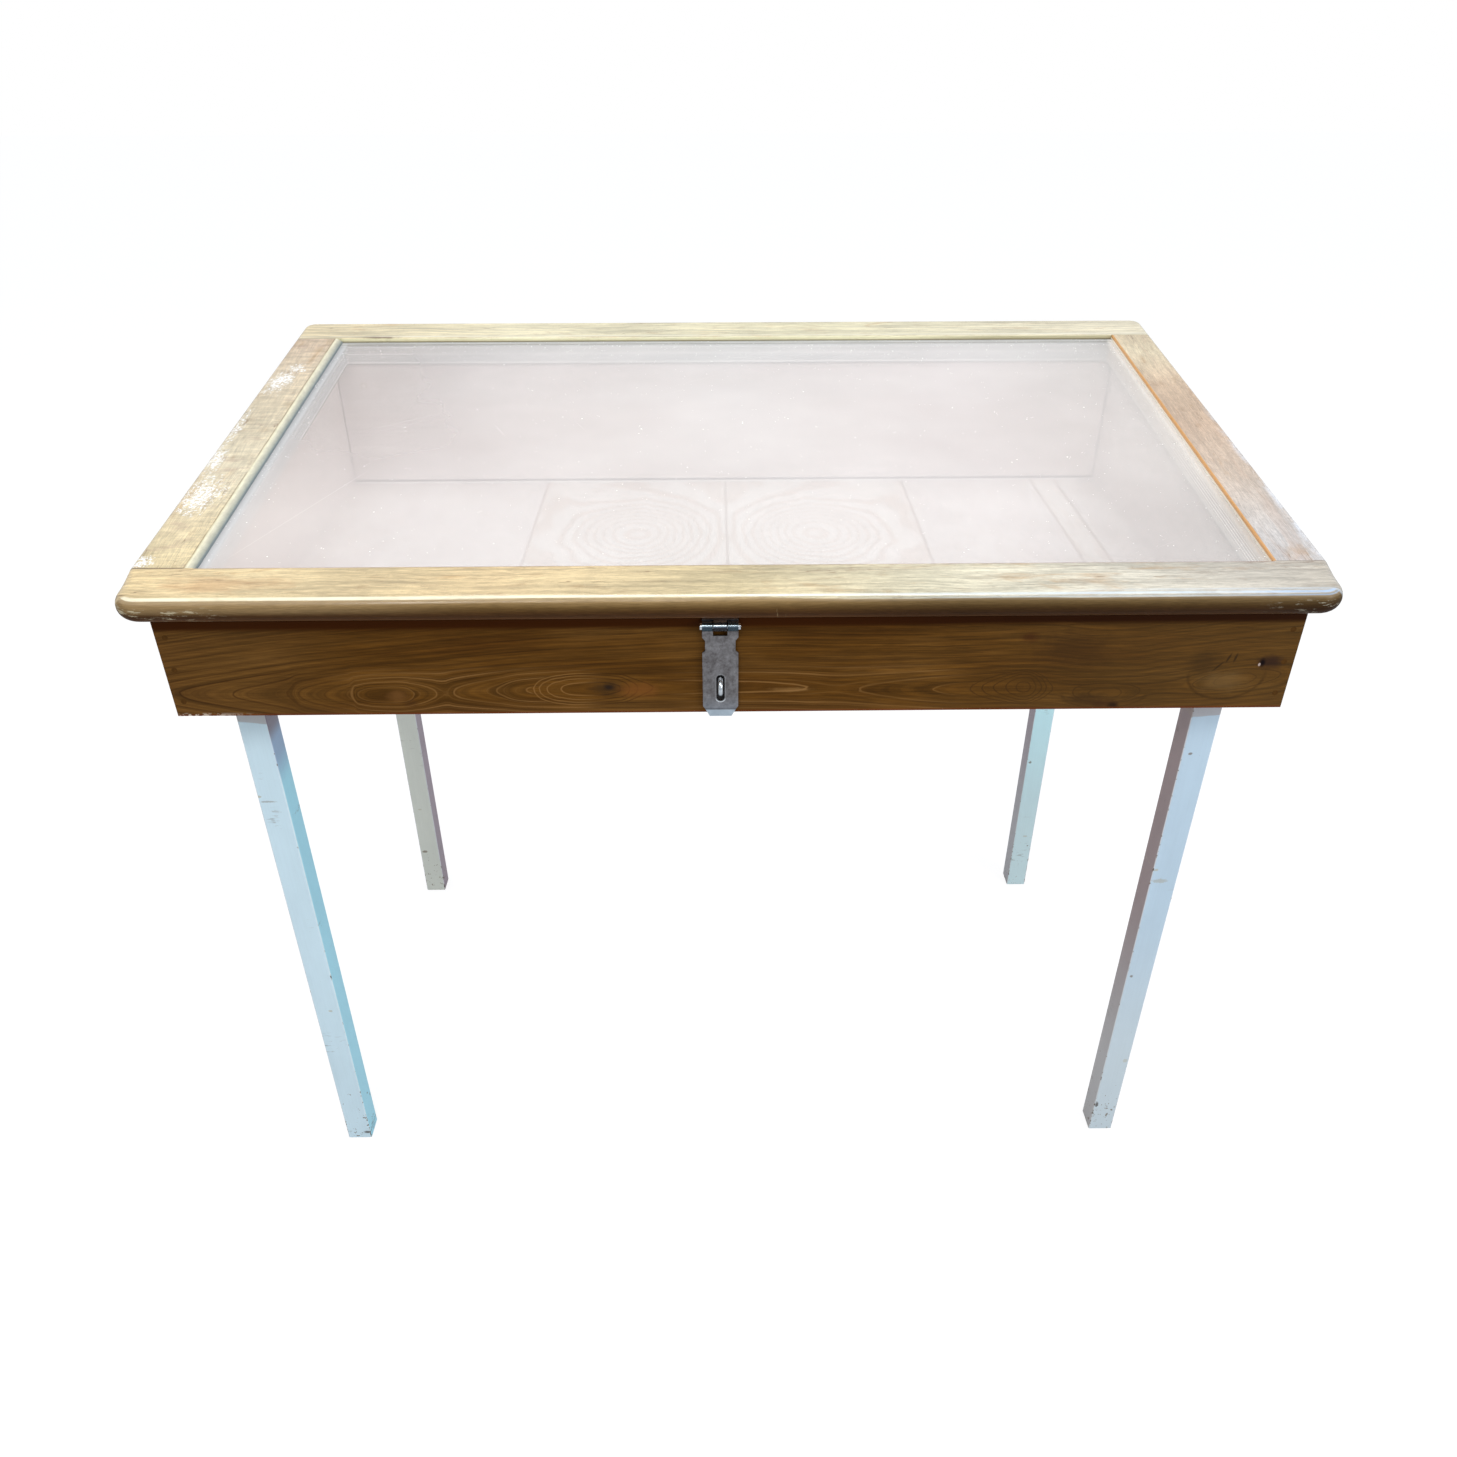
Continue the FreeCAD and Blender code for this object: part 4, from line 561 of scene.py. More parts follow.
def front_board_material():
    s = Shade("case_front_wood")
    x, y, z = s.split(s.place)
    up = z - BOARD_BOTTOM
    warp = s.noise(x * 5, z * 24, 0.3, 2, 0.4)
    fine_warp = s.noise(x * 30, z * 160, 0.9, 2, 0.5)
    top_ring, top_tight, line_top = 12, 6, 0.05
    step, tight_step = 0.003, 0.002
    wide, steep, tight_wide = 0.015, 2.3, 0.0098
    crown = [(across_share(at), ring / top_ring) for at, ring in CROWN]
    calm = [(across_share(at), ring / top_ring) for at, ring in CALM]
    line_points = [(across_share(at), height / (line_top * 1000)) for at, height in CROWN_LINE]
    share = (x + (warp - 0.5) * 0.01 + CASE_HALF) / (2 * CASE_HALF)
    off = up - s.curve(share, line_points) * line_top
    from_middle = off / 0.024
    near_middle = s.hill(from_middle * from_middle)
    ring, beside = [(s.curve(place, crown) * near_middle
                     + s.curve(place, calm) * (1 - near_middle)) * top_ring
                    for place in (share, share + step)]
    slope = off / wide
    root = s.root(1 + slope * slope)
    field = ring - (root - 1) * steep + (warp - 0.5) * 0.16 + (fine_warp - 0.5) * 0.1
    # distance from the nearest line, from the field's steepness both ways
    steep_x = (beside - ring) / (step * 2 * CASE_HALF)
    steep_z = slope * (steep / wide) / root
    steepness = s.root(steep_x * steep_x + steep_z * steep_z + 60)
    part = s.part(field + 40)
    near_line = s.least(part, 1 - part) / steepness
    half_part = s.part(field * 2 + 80.5)
    near_half = s.least(half_part, 1 - half_part) / (steepness * 2)
    seen = s.span(s.noise(x * 9, field * 1.3, 4, 2), 0.34, 0.58)
    line = s.span(near_line, 0.0013, 0.0003) * (0.35 + seen * 0.65)
    half_line = s.span(near_half, 0.0009, 0.0002) * (seen * 0.4)
    # the tight families, drawn only close to their own middle line
    tight = [(across_share(at), ring / top_tight) for at, ring in TIGHT]
    tight_ring = s.curve(share, tight) * top_tight
    tight_next = s.curve(share + tight_step, tight) * top_tight
    squash = off / tight_wide
    tight_field = tight_ring - squash * squash + (fine_warp - 0.5) * 0.3
    tight_x = (tight_next - tight_ring) / (tight_step * 2 * CASE_HALF)
    tight_z = squash * (2 / tight_wide)
    tight_steep = s.root(tight_x * tight_x + tight_z * tight_z + 900)
    tight_part = s.part(tight_field + 40)
    near_tight = s.least(tight_part, 1 - tight_part) / tight_steep
    inside_tight = s.span(tight_field, 0.4, 0.8)
    tight_line = s.span(near_tight, 0.001, 0.0002) * inside_tight
    line = s.most(line * (1 - inside_tight * 0.8), tight_line * (0.7 + seen * 0.3))
    half_line = half_line * (1 - inside_tight)

    slow = s.noise(x * 4, z * 18, 5, 4, 0.6)
    s.colour = s.ramp(slow, [(0.28, (76, 45, 11)), (0.5, (93, 60, 19)), (0.74, (112, 77, 34))])
    s.lay(s.span(x, -0.36, -0.5) * 0.35, (116, 84, 44))
    grain = s.noise(x * 9, field * 3.4, y * 80, 5, 0.62)
    s.vary(grain, 0.7, 1.22, 0.28, 0.72)
    hairs = s.noise(x * 20, up * 460, 3, 6, 0.7)
    rough_part = s.span(x, -0.1, 0.3)
    s.vary(hairs, 0.8 - rough_part * 0.14, 1.17 + rough_part * 0.14)
    s.vary(s.noise(x * 4, field * 0.85, 0, 4, 0.6), 0.8, 1.14)
    # each ring darkens towards its line
    s.vary(part, 1.05, 0.88, 0.55, 1)
    # light lines from the middle of the left half on, dark ones at the left end and round the right figure
    pale_part = s.most(s.band(x, -0.4, -0.145, 0.02), s.band(x, -0.05, 0.225, 0.03))
    pale_part = pale_part * s.span(up, 0.06, 0.045)
    tone = s.mix(pale_part, (58, 34, 10), (142, 102, 56))
    lower = s.span(up, 0.08, 0.04, 0.22, 1)
    s.lay(line * lower * 0.7, tone)
    s.lay(half_line * lower * 0.5, tone)
    cut = line * 0.3

    # darkest and reddest in the middle, olive at the right
    s.lay(s.span(x, 0.1, 0.5) * 0.3, (92, 71, 40))
    knot_warp = (s.noise(x * 70, z * 110, 2, 4, 0.65) - 0.5) * 0.9
    for centre, size, amount, tone in (
            ((-0.1285, 0.76), (0.026, 0.013), 0.6, (44, 34, 22)),
            ((-0.127, 0.7605), (0.008, 0.005), 0.7, (24, 22, 24)),
            ((-0.096, 0.757), (0.03, 0.014), 0.6, (128, 78, 34)),
            ((0.552, 0.784), (0.019, 0.012), 0.8, (46, 29, 24)),
            ((0.544, 0.7835), (0.0042, 0.007), 0.95, (12, 6, 10)),
            ((0.386, 0.7365), (0.02, 0.007), 0.7, (52, 26, 16)),
            ((0.3985, 0.7345), (0.009, 0.005), 1, (14, 6, 6)),
            ((0.37, 0.74), (0.034, 0.014), 0.6, (54, 36, 18)),
            ((0.348, 0.803), (0.06, 0.03), 0.55, (60, 38, 18)),
            ((0.3, 0.815), (0.014, 0.008), 0.6, (64, 32, 14)),
            ((0.485, 0.783), (0.026, 0.02), 0.45, (54, 38, 20)),
            ((0.508, 0.762), (0.034, 0.018), 0.4, (118, 92, 56)),
            ((-0.345, 0.752), (0.016, 0.01), 0.5, (124, 84, 44)),
            ((-0.333, 0.743), (0.012, 0.008), 0.45, (60, 34, 14)),
            ((0.06, 0.756), (0.03, 0.004), 0.45, (150, 112, 66))):
        knot = s.spot(x, z, centre, size, 0.85, knot_warp)
        s.lay(knot * amount, tone)
        cut = s.most(cut, knot * 0.25)
    s.lay(s.span(up, 0.02, 0) * 0.2, (110, 76, 40))
    # the little white scar beside the knot at the right, and small upright tears
    scar = s.spot(x, z, (0.5412, 0.7815), (0.0016, 0.0024), 0.5)
    s.lay(scar * 0.8, (196, 176, 168))
    for cx, cz, lean in ((0.508, 0.7895, 0.35), (0.515, 0.7895, 0.2), (0.4995, 0.78, 0.9)):
        shifted = x - (z - cz) * lean
        s.lay(s.spot(shifted, z, (cx, cz), (0.0018, 0.0075), 0.7) * 0.7, (40, 28, 16))
    # a curved seam round the figure at the right end, and another beside the low knot
    for (cx, cz), (wx, wz), amount in (
            ((0.51, 0.772), (0.04, 0.031), 0.45), ((0.387, 0.748), (0.044, 0.017), 0.35)):
        across = (x - cx) / wx
        rise = (z - cz) / wz
        far = s.root(across * across + rise * rise) + knot_warp * 0.12
        seam = s.band(far, 0.96, 1.04, 0.04) * s.span(rise, 0.2, -0.3)
        seam = seam * s.span(grain, 0.4, 0.56, 0.25, 1)
        s.lay(seam * amount, (46, 30, 14))
    # red edge of stain along the bottom and a few white chips at its left end
    low = s.span(z, BOARD_BOTTOM + 0.0032, BOARD_BOTTOM + 0.0008)
    front_face = s.span(y, CASE_FRONT + 0.01, CASE_FRONT + 0.004)
    s.lay(low * front_face * 0.5, (110, 42, 22))
    chip_noise = s.noise(x * 120, y * 90, z * 160, 3, 0.7)
    near_corner = s.span(x, -0.48, -0.575) * s.span(z, BOARD_BOTTOM + 0.0045, BOARD_BOTTOM + 0.001)
    chip = near_corner * s.span(chip_noise, 0.47, 0.53)
    s.lay(chip * 0.85, (222, 208, 190))
    # painted shadow of the lid's nose: dark red-brown along the top of the board, narrower and darker at the
    # right
    rightward = s.span(x, 0, 0.35)
    thick = s.span(z - rightward * 0.0015, 0.8255, 0.8325) * 0.96
    s.lay(thick, s.mix(rightward, (63, 27, 0), (46, 17, 0)))
    inside = s.span(y, CASE_FRONT + WALL - 0.0006, CASE_FRONT + WALL - 0.0002)
    dusty(s, x, y, z, inside)
    plain = 1 - inside
    return finish_board(s, (grain * 0.5 - cut * plain) * plain, grain)


def back_inside(s, x, y):
    return s.span(y, CASE_BACK - WALL + 0.0006, CASE_BACK - WALL + 0.0002)


def back_board_material():
    hills = [((-0.2, 0.8), (0.28, 0.035), 0.04), ((0.34, 0.84), (0.22, 0.03), 0.034),
             ((0.02, 0.88), (0.16, 0.02), -0.02)]
    knots = [((0.21, 0.8), (0.016, 0.01), 0.6, (44, 30, 18)),
             ((-0.44, 0.87), (0.012, 0.009), 0.6, (48, 34, 20))]
    s, x, y, z, height, grain = contour_board("case_back_wood", hills, knots, True, back_inside)
    # painted shade along the inner corners to the floor and the side boards, and the seam to the floor
    # filled with pale dust
    inside = back_inside(s, x, y)
    pale_seam = s.band(z, FLOOR_TOP - 0.001, FLOOR_TOP + 0.0022, 0.0006)
    corner_shade = s.band(z, FLOOR_TOP + 0.003, FLOOR_TOP + 0.0064, 0.0008)
    from_side = CASE_HALF - WALL - abs(x)
    corner_shade = s.most(corner_shade * 0.88, s.band(from_side, -0.001, 0.0024, 0.0008) * 0.5)
    s.lay(corner_shade * inside, (138, 126, 128))
    # painted shade: the inner face darker towards its top, under the back rail
    s.lay(inside, s.shade(s.colour, s.span(z, 0.845, 0.885, 1, 0.92)))
    s.lay(pale_seam * inside * 0.8, (252, 250, 248))
    # fine level lines of the wall
    s.lay(inside, s.shade(s.colour, s.sway(s.noise(x * 2.5, z * 420, 4, 3, 0.6), 0.955, 1.03)))
    # two round marks of old plugs on the inner face
    for cx, cz in ((-0.032, 0.8567), (-0.5188, 0.8897)):
        disc = s.spot(x, z, (cx, cz), (0.0052, 0.0052), 0.25)
        ring = disc * (1 - s.spot(x, z, (cx, cz), (0.004, 0.004), 0.3))
        s.lay(disc * inside * 0.35, (250, 244, 236))
        s.lay(ring * inside * 0.6, (150, 124, 112))
    return finish_board(s, height, grain)


def side_board_material(left):
    sign = -1 if left else 1
    hills = [((0.05 * sign, 0.79), (0.2, 0.028), 0.034), ((-0.2 * sign, 0.82), (0.1, 0.02), 0.022)]
    knots = [((0.16 * sign, 0.8), (0.013, 0.009), 0.55, (46, 32, 18))]

    def inner(s, x, y):
        return s.span(abs(x), CASE_HALF - WALL + 0.0006, CASE_HALF - WALL + 0.0002)

    name = "case_left_wood" if left else "case_right_wood"
    s, _, _, _, height, grain = contour_board(name, hills, knots, False, inner)
    return finish_board(s, height, grain)


# Pale floor boards, the two broad ones with matched figure

def floor_material(name, matched, seed, tint, node):
    s = Shade(name)
    x, y, _ = s.split(s.place)
    across = abs(x) if matched else x + seed
    swirl = s.noise(across * 7, y * 5, seed, 3, 0.55, 1.6)
    field = across * (0.4 if matched else 1) + swirl * (0.1 if matched else 0.36)
    if matched:
        for (cx, cy), (wx, wy), height in (
                ((0.118, 0.11), (0.08, 0.095), 0.42), ((0.15, -0.2), (0.07, 0.11), 0.26)):
            dx = (across - cx) / wx
            dy = (y - cy) / wy
            field = field + s.hill(dx * dx + dy * dy) * height
    rings = s.math("SINE", field * (128 if matched else 110))
    s.colour = s.ramp(s.noise(across * 30, y * 8, seed, 4, 0.6), [(0.3, tint[0]), (0.7, tint[1])])
    s.lay(s.span(rings, -0.2, 1) * (0.4 if matched else 0.26), tint[2])
    fine = s.noise(across * 700, y * 20, seed, 3, 0.6)
    s.vary(fine, 0.95, 1.03)
    # joints to the next boards
    places = [corner[0] for corner in nodes[node].bound_box]
    side = s.least(x - min(places), max(places) - x)
    s.lay(s.span(side, 0.003, 0.0012) * 0.6, (164, 138, 122))
    return s.finish(0.5, s.bump(fine * 0.5, 0.2, 0.0004))


# Painted legs

def leg_material(name, seed, front, right, left, marks):
    """White gloss paint over timber, chipped along the arrises and scuffed near the floor; each face has its
    own painted tone of light and shade.
    """
    s = Shade(name)
    x, y, z = s.split(s.place)
    nx, ny, _ = s.split(s.normal)
    cloud = s.noise(x * 14, y * 14, z * 5, 4, 0.6)
    # painted light and shade: each face of the same white paint gets the tone of the light on its side
    s.colour = s.mix(s.span(nx, 0.35, 0.8), front, right)
    s.lay(s.span(nx, -0.35, -0.8), left)
    s.vary(cloud, 0.94, 1.04, 0.25, 0.75)
    # painted highlights along the arrises, and the painted shadow of the case across the tops of the front
    # legs
    s.lay(s.span(s.least(abs(nx), abs(ny)), 0.15, 0.4) * 0.6, (240, 246, 250))
    case_shadow = s.span(z + abs(x) * -0.1 + (cloud - 0.5) * 0.006, 0.6375, 0.639)
    s.lay(case_shadow * s.span(y, 0, -0.1) * 0.62, (166, 148, 140))
    # painted shade near the top of the front left leg's inner side face, bluish, then mauve under the case
    side_top_shade = s.span(nx, 0.35, 0.8) * s.span(x, 0, -0.1) * s.span(y, 0, -0.1)
    s.lay(side_top_shade * s.span(z, 0.6, 0.65, 0, 0.75), (142, 156, 194))
    s.lay(side_top_shade * s.span(z, 0.66, 0.684, 0, 0.8), (120, 102, 108))
    s.lay(s.span(z, 0.45, 0.1) * s.span(x, 0, 0.2) * 0.55, (214, 222, 222))
    # faint rubs across the grain, and brush lines along it
    rub_at = s.noise(x * 60, y * 60, (z + seed) * 260, 4, 0.6)
    rub_where = s.span(s.noise(x * 9, y * 9, (z + seed) * 16, 2), 0.58, 0.68)
    rub = s.span(rub_at, 0.57, 0.66) * rub_where
    s.lay(rub * 0.45, (132, 128, 122))
    brush = s.noise(x * 520, y * 520, z * 9, 3, 0.6)
    s.vary(brush, 0.985, 1.01)
    # chips through to timber: few, mostly at corners and by the feet
    speck = s.noise(x * 160, y * 160, (z + seed) * 150, 3, 0.7)
    low = s.span(z, 0.16, 0, 0, 0.13)
    edge = s.span(s.least(abs(nx), abs(ny)), 0.18, 0.45) * 0.11
    chip = s.span(speck + (low + edge), 0.735, 0.765)
    s.lay(chip * 0.85, (112, 92, 66))
    deep = s.span(speck + (low + edge), 0.8, 0.83)
    s.lay(deep * 0.8, (58, 46, 36))
    cut = chip + deep * 0.6
    for centre, size, amount, tone in marks:
        mark = s.spot(x, z, centre, size, 0.5, (speck - 0.5) * 1.6) * s.span(ny, 0.5, -0.2)
        s.lay(mark * amount, tone)
        cut = s.most(cut, mark * 0.6)
    height = brush * 0.12 + cloud * 0.2 - cut
    rough = 0.32 + s.most(rub, chip) * 0.3
    return s.finish(rough, s.bump(height, 0.3, 0.0005), Coat_Weight=0.15, Coat_Roughness=0.25)


# Glass with its dust, scratches and a milky look of painted reflection and haze

def glass_material():
    """Nearly clear to the light that falls through, milky to look at with painted reflection and haze, with
    dust and hair scratches.
    """
    s = Shade("milky_glass")
    x, along, _ = s.lid_axes()
    left_in = x - GLASS_LEFT
    right_in = GLASS_RIGHT - x
    back_in = GLASS_BACK - along
    cloud = s.noise(x * 3.2, along * 4, 0, 3, 0.55)
    edges = s.most(s.span(right_in, 0.06, 0),
                   s.most(s.span(back_in, 0.1, 0.01), s.span(left_in, 0.05, 0)))
    speck = 0
    for scale, seed, base in ((150, 0, 0.02), (340, 7, 0.024)):
        cell = s.cells(x * scale, along * scale, seed)
        gate = s.noise(x * (scale * 0.23), along * (scale * 0.23), seed, 1)
        size = s.span(gate + edges * 0.14, 0.53, 0.76) * (base * 7)
        speck = s.most(speck, s.span(size - cell, 0, 0.04))
    # hair scratches: a few thin slanting ones, faint
    line_a = s.noise((x + along * 0.55) * 330, (along - x * 0.5) * 3, 0, 1)
    line_b = s.noise((x - along * 1.7) * 300, (along + x * 0.4) * 2.6, 7, 1)
    patch = s.span(s.noise(x * 5, along * 6, 11, 2), 0.54, 0.66)
    scratch = s.most(s.span(line_a, 0.775, 0.8), s.span(line_b, 0.775, 0.8))
    scratch = scratch * (patch * 0.45)
    slant = x + (along - 0.18) * -0.52
    long_one = s.band(slant, -0.4662, -0.4657, 0.0003) * s.band(along, 0.1, 0.27, 0.02)
    # fine pale lines beside the right stile and along the back
    lined = s.band(right_in, 0.0095, 0.0225, 0.002) * s.span(along, 0.42, 0.16)
    side_lines = s.band(s.part(right_in * 330), 0.38, 0.56, 0.08) * lined
    back_lines = s.most(s.band(back_in, 0.0052, 0.0062, 0.0005),
                        s.band(back_in, 0.013, 0.0138, 0.0005) * 0.6)
    back_lines = back_lines * s.span(s.noise(x * 9, 0, 3, 3), 0.35, 0.55, 0.3, 1)
    wear = s.most(s.most(scratch, long_one * 0.28), s.most(side_lines * 0.6, back_lines * 0.75))
    mark = s.most(speck, wear)
    # the veil: painted reflection and haze, brightest in the middle, cream beside the right stile, bluish at
    # the left and back, darker at the left towards the back and at the right towards the front
    share = (x + 0.54) / 1.08
    veil_reflection = s.ramp(share,
                  [(0, (238, 230, 226)), (0.16, (234, 230, 229)), (0.5, (236, 235, 235)),
                   (0.78, (241, 238, 238)), (0.97, (234, 232, 230))])
    veil_reflection = s.shade(veil_reflection, s.sway(cloud, 0.96, 1.03))
    veil_shade = s.most(s.span(x, -0.22, -0.46) * s.span(along, 0.16, 0.46),
                 s.span(x, 0.26, 0.44) * s.span(along, 0.3, 0.12) * 0.8)
    veil_reflection = s.shade(veil_reflection, 1 - veil_shade * 0.22)
    cream = s.band(right_in, -0.002, 0.0075, 0.003)
    cream_tone = s.mix(s.span(along, 0.12, 0.3), (222, 214, 206), (248, 244, 238))
    veil_reflection = s.mix(cream * 0.75, veil_reflection, cream_tone)
    blue = s.most(s.span(left_in, 0.012, 0.006), s.span(back_in, 0.01, 0.004))
    veil_reflection = s.mix(blue * 0.7, veil_reflection, (216, 220, 222))
    s.colour = s.mix(mark, veil_reflection, (252, 251, 250))
    clear = s.sway(cloud, 0.36, 0.41) + mark * 0.45
    clear = clear + s.most(blue * 0.25, cream * 0.36)
    in_shadow = Value(s, s.node("LightPath").outputs["Is Shadow Ray"])
    clear = s.math("MULTIPLY", clear, 1 - in_shadow * 0.85, clamp=True)
    rough = 0.1 + mark * 0.4
    height = wear * -0.5 + speck * 0.6
    return s.finish(rough, s.bump(height, 0.08, 0.0002), Alpha=clear, Specular_IOR_Level=0.5)


# Rims under the glass edge

def rim_material(name, tone, lengthwise, seed):
    s = Shade(name)
    x, along, over = s.lid_axes()
    run, side = (x, along) if lengthwise else (along, x)
    grain = s.noise((run + seed) * 9, side * 500, over * 420, 4, 0.6)
    cloud = s.noise((run + seed) * 6, side * 40, over * 60, 3)
    s.colour = s.mix(s.sway(cloud), tone[0], tone[1])
    s.vary(grain, 0.93, 1.04)
    # steps and lines along the inner face
    for at, thick, amount, line_tone in (
            (-0.0142, 0.0006, 0.45, (250, 250, 248)), (-0.0176, 0.0005, 0.4, (168, 172, 174)),
            (-0.0228, 0.0007, 0.4, (248, 248, 246)), (-0.0318, 0.0005, 0.3, (176, 178, 178)),
            (-0.0352, 0.0009, 0.45, (250, 250, 248)), (-0.0374, 0.0007, 0.6, (150, 150, 150))):
        line = s.band(over, at - thick, at + thick, 0.0003) * s.span(cloud, 0.25, 0.5, 0.5, 1)
        s.lay(line * (amount * 1.6), line_tone)
    # the outer face is stained like the boards below it, but painted lighter than they are, to make up for
    # the shade it sits in under the lid
    outer_x = s.span(abs(x), CASE_HALF - 0.0012, CASE_HALF - 0.0004)
    y_front = along * math.cos(SLOPE) + over * -math.sin(SLOPE)
    outer_front = s.span(y_front, 0.0345, 0.0325)
    outer_back = s.span(y_front, 0.6915, 0.6935)
    stained = s.most(outer_x, s.most(outer_front, outer_back))
    dark = s.mix(s.sway(cloud), (132, 88, 56), (150, 104, 68))
    dark = s.shade(dark, s.sway(grain, 0.88, 1.08))
    s.lay(stained, dark)
    return s.finish(0.5, s.bump(grain, 0.2, 0.0004))


# Metal

def metal_material(name, dark, light, rough_low, rough_high, metallic=1, scale=1, rust=0, extra=None):
    s = Shade(name)
    x, y, z = s.split(s.place)
    cloud = s.noise(x * (170 * scale), y * (170 * scale), z * (170 * scale), 5, 0.65)
    fine = s.noise(x * 2600, y * 900, z * 260, 3, 0.6)
    s.colour = s.ramp(cloud, [(0.3, dark), (0.7, light)])
    s.vary(fine, 0.93, 1.05)
    if rust:
        s.lay(s.span(s.noise(x * 420, y * 420, z * 420, 3), 0.62, 0.72) * rust, (96, 62, 40))
    rough = s.sway(cloud, rough_low, rough_high)
    if extra is not None:
        rough = extra(s, x, y, z, cloud, rough)
    normal = s.bump(cloud * 0.6 + fine * 0.4, 0.12, 0.0003)
    return s.finish(rough, normal, Metallic=metallic, Specular_IOR_Level=0.5 if metallic else 0.05)


def hasp_wear(s, x, y, z, cloud, rough):
    """Rolled knuckles with a painted highlight band and shade, painted shade in the gaps between them, a
    cool tip with a painted highlight, and a painted highlight on the rim of the slot.
    """
    from_pin = s.root(s.math("POWER", z - PIN_Z, 2) + s.math("POWER", y - PIN_Y, 2))
    rolled = s.span(from_pin, 0.0066, 0.0056)
    across = s.span((z - PIN_Z) * 0.84 + (y - PIN_Y) * 0.54, -0.0049, 0.0049)
    # painted light across the knuckles: dark below, a bright highlight band across the middle, shade above
    knuckle_light_tone = s.ramp(across,
                         [(0.06, (34, 36, 42)), (0.26, (62, 68, 78)), (0.4, (150, 172, 188)),
                          (0.5, (236, 250, 255)), (0.6, (206, 226, 238)), (0.72, (110, 124, 138)),
                          (0.88, (84, 94, 106)), (1, (170, 184, 196))])
    knuckle_light_tone = s.mix(s.span(abs(x - HASP_X), 0.0064, 0.0074) * 0.45, knuckle_light_tone, (74, 104, 118))
    s.lay(rolled * 0.94, knuckle_light_tone)
    rough = rough - rolled * 0.16
    # painted shade in the gaps between the knuckles
    off = abs(x - HASP_X)
    s.lay(s.band(off, 0.0065, 0.0078, 0.0004) * s.span(from_pin, 0.007, 0.0058) * 0.95, (14, 14, 18))
    # the lower end: cooler downwards, with a painted highlight on the lip at the tip and painted shade in
    # the fold over it
    s.lay(s.span(z, 0.756, 0.732) * 0.3, (170, 184, 200))
    s.lay(s.span(z, 0.7362, 0.735) * 0.7, (196, 214, 228))
    s.lay(s.band(z, 0.736, 0.7376, 0.0005) * 0.45, (70, 74, 82))
    # a painted highlight on the slot's rim, brightest at its lower edge, and scuffs
    slot_x = (x - HASP_X) / SLOT_RADIUS
    slot_z = s.most(abs(z - SLOT_Z) - SLOT_HALF, 0) / SLOT_RADIUS
    round_slot = s.root(slot_x * slot_x + slot_z * slot_z)
    s.lay(s.band(round_slot, 0.96, 1.26, 0.08) * s.span(z, 0.75, 0.7462, 0.15, 1) * 0.9, (240, 246, 250))
    s.lay(s.span(s.noise(x * 900, z * 240, 3, 4, 0.7), 0.6, 0.7) * 0.35, (198, 200, 204))
    return rough


def plate_shade(s, x, y, z, cloud, rough):
    """Dark painted shade round the loop, where the strap lies over the plate."""
    near = s.spot(x, z, (HASP_X, STAPLE_Z), (0.01, 0.02), 0.25, (cloud - 0.5) * 0.4)
    s.lay(near * 0.92, (34, 28, 26))
    return rough + near * 0.3


def plain_wood_material(name, tone_a, tone_b):
    s = Shade(name)
    x, y, z = s.split(s.place)
    cloud = s.noise(x * 30, y * 5, z * 30, 4, 0.6)
    grain = s.noise(x * 420, y * 14, z * 420, 4, 0.6)
    s.colour = s.mix(s.sway(cloud), tone_a, tone_b)
    s.vary(grain, 0.88, 1.06)
    return s.finish(0.62, s.bump(grain, 0.3, 0.0005))


dress(front_rail_material(), "lid_front_rail")
dress(back_rail_material(), "lid_back_rail")
dress(left_stile_material(), "lid_left_stile")
dress(right_stile_material(), "lid_right_stile")
dress(glass_material(), "glass_pane")
dress(front_board_material(), "front_board")
dress(back_board_material(), "back_board")
dress(side_board_material(True), "left_side_board")
dress(side_board_material(False), "right_side_board")

WARM = ((228, 220, 213), (240, 235, 230), (198, 164, 140))
GREY = ((222, 213, 210), (236, 230, 226), (204, 186, 176))
for node, name, matched, seed, tint in (
        ("floor_board_left", "floor_left", False, 1.3, GREY),
        ("floor_board_centre_left", "floor_centre_left", True, 2, WARM),
        ("floor_board_centre_right", "floor_centre_right", True, 2, WARM),
        ("floor_board_right", "floor_right", False, 3.9, GREY),
        ("floor_strip_right", "floor_strip", False, 5.1, WARM),
        ("floor_board_right_end", "floor_end", False, 6.7, GREY)):
    dress(floor_material(name, matched, seed, tint, node), node)

TIMBER = (112, 92, 66)
SHADOW = (70, 58, 48)
PLUG = (188, 182, 160)
# face tones for each leg, front, right and left: painted light and shade of the same white paint
dress(leg_material("paint_front_left", 0.3, (211, 235, 246), (172, 236, 255), (176, 170, 178),
                   [((-0.5385, 0.592), (0.0035, 0.0022), 0.7, PLUG),
                    ((-0.529, 0.585), (0.011, 0.0016), 0.6, (150, 146, 138)),
                    ((-0.52, 0.25), (0.003, 0.0022), 0.7, PLUG),
                    ((-0.512, 0.012), (0.006, 0.003), 0.8, SHADOW)]), "leg_front_left")
dress(leg_material("paint_front_right", 0.9, (188, 210, 226), (206, 218, 224), (164, 144, 144),
                   [((0.517, 0.64), (0.003, 0.0024), 0.75, TIMBER),
                    ((0.511, 0.472), (0.004, 0.0024), 0.7, PLUG),
                    ((0.52, 0.455), (0.012, 0.004), 0.5, (168, 160, 138)),
                    ((0.514, 0.297), (0.0026, 0.0026), 0.75, TIMBER),
                    ((0.511, 0.052), (0.0026, 0.006), 0.85, SHADOW),
                    ((0.535, 0.14), (0.004, 0.004), 0.5, PLUG)]), "leg_front_right")
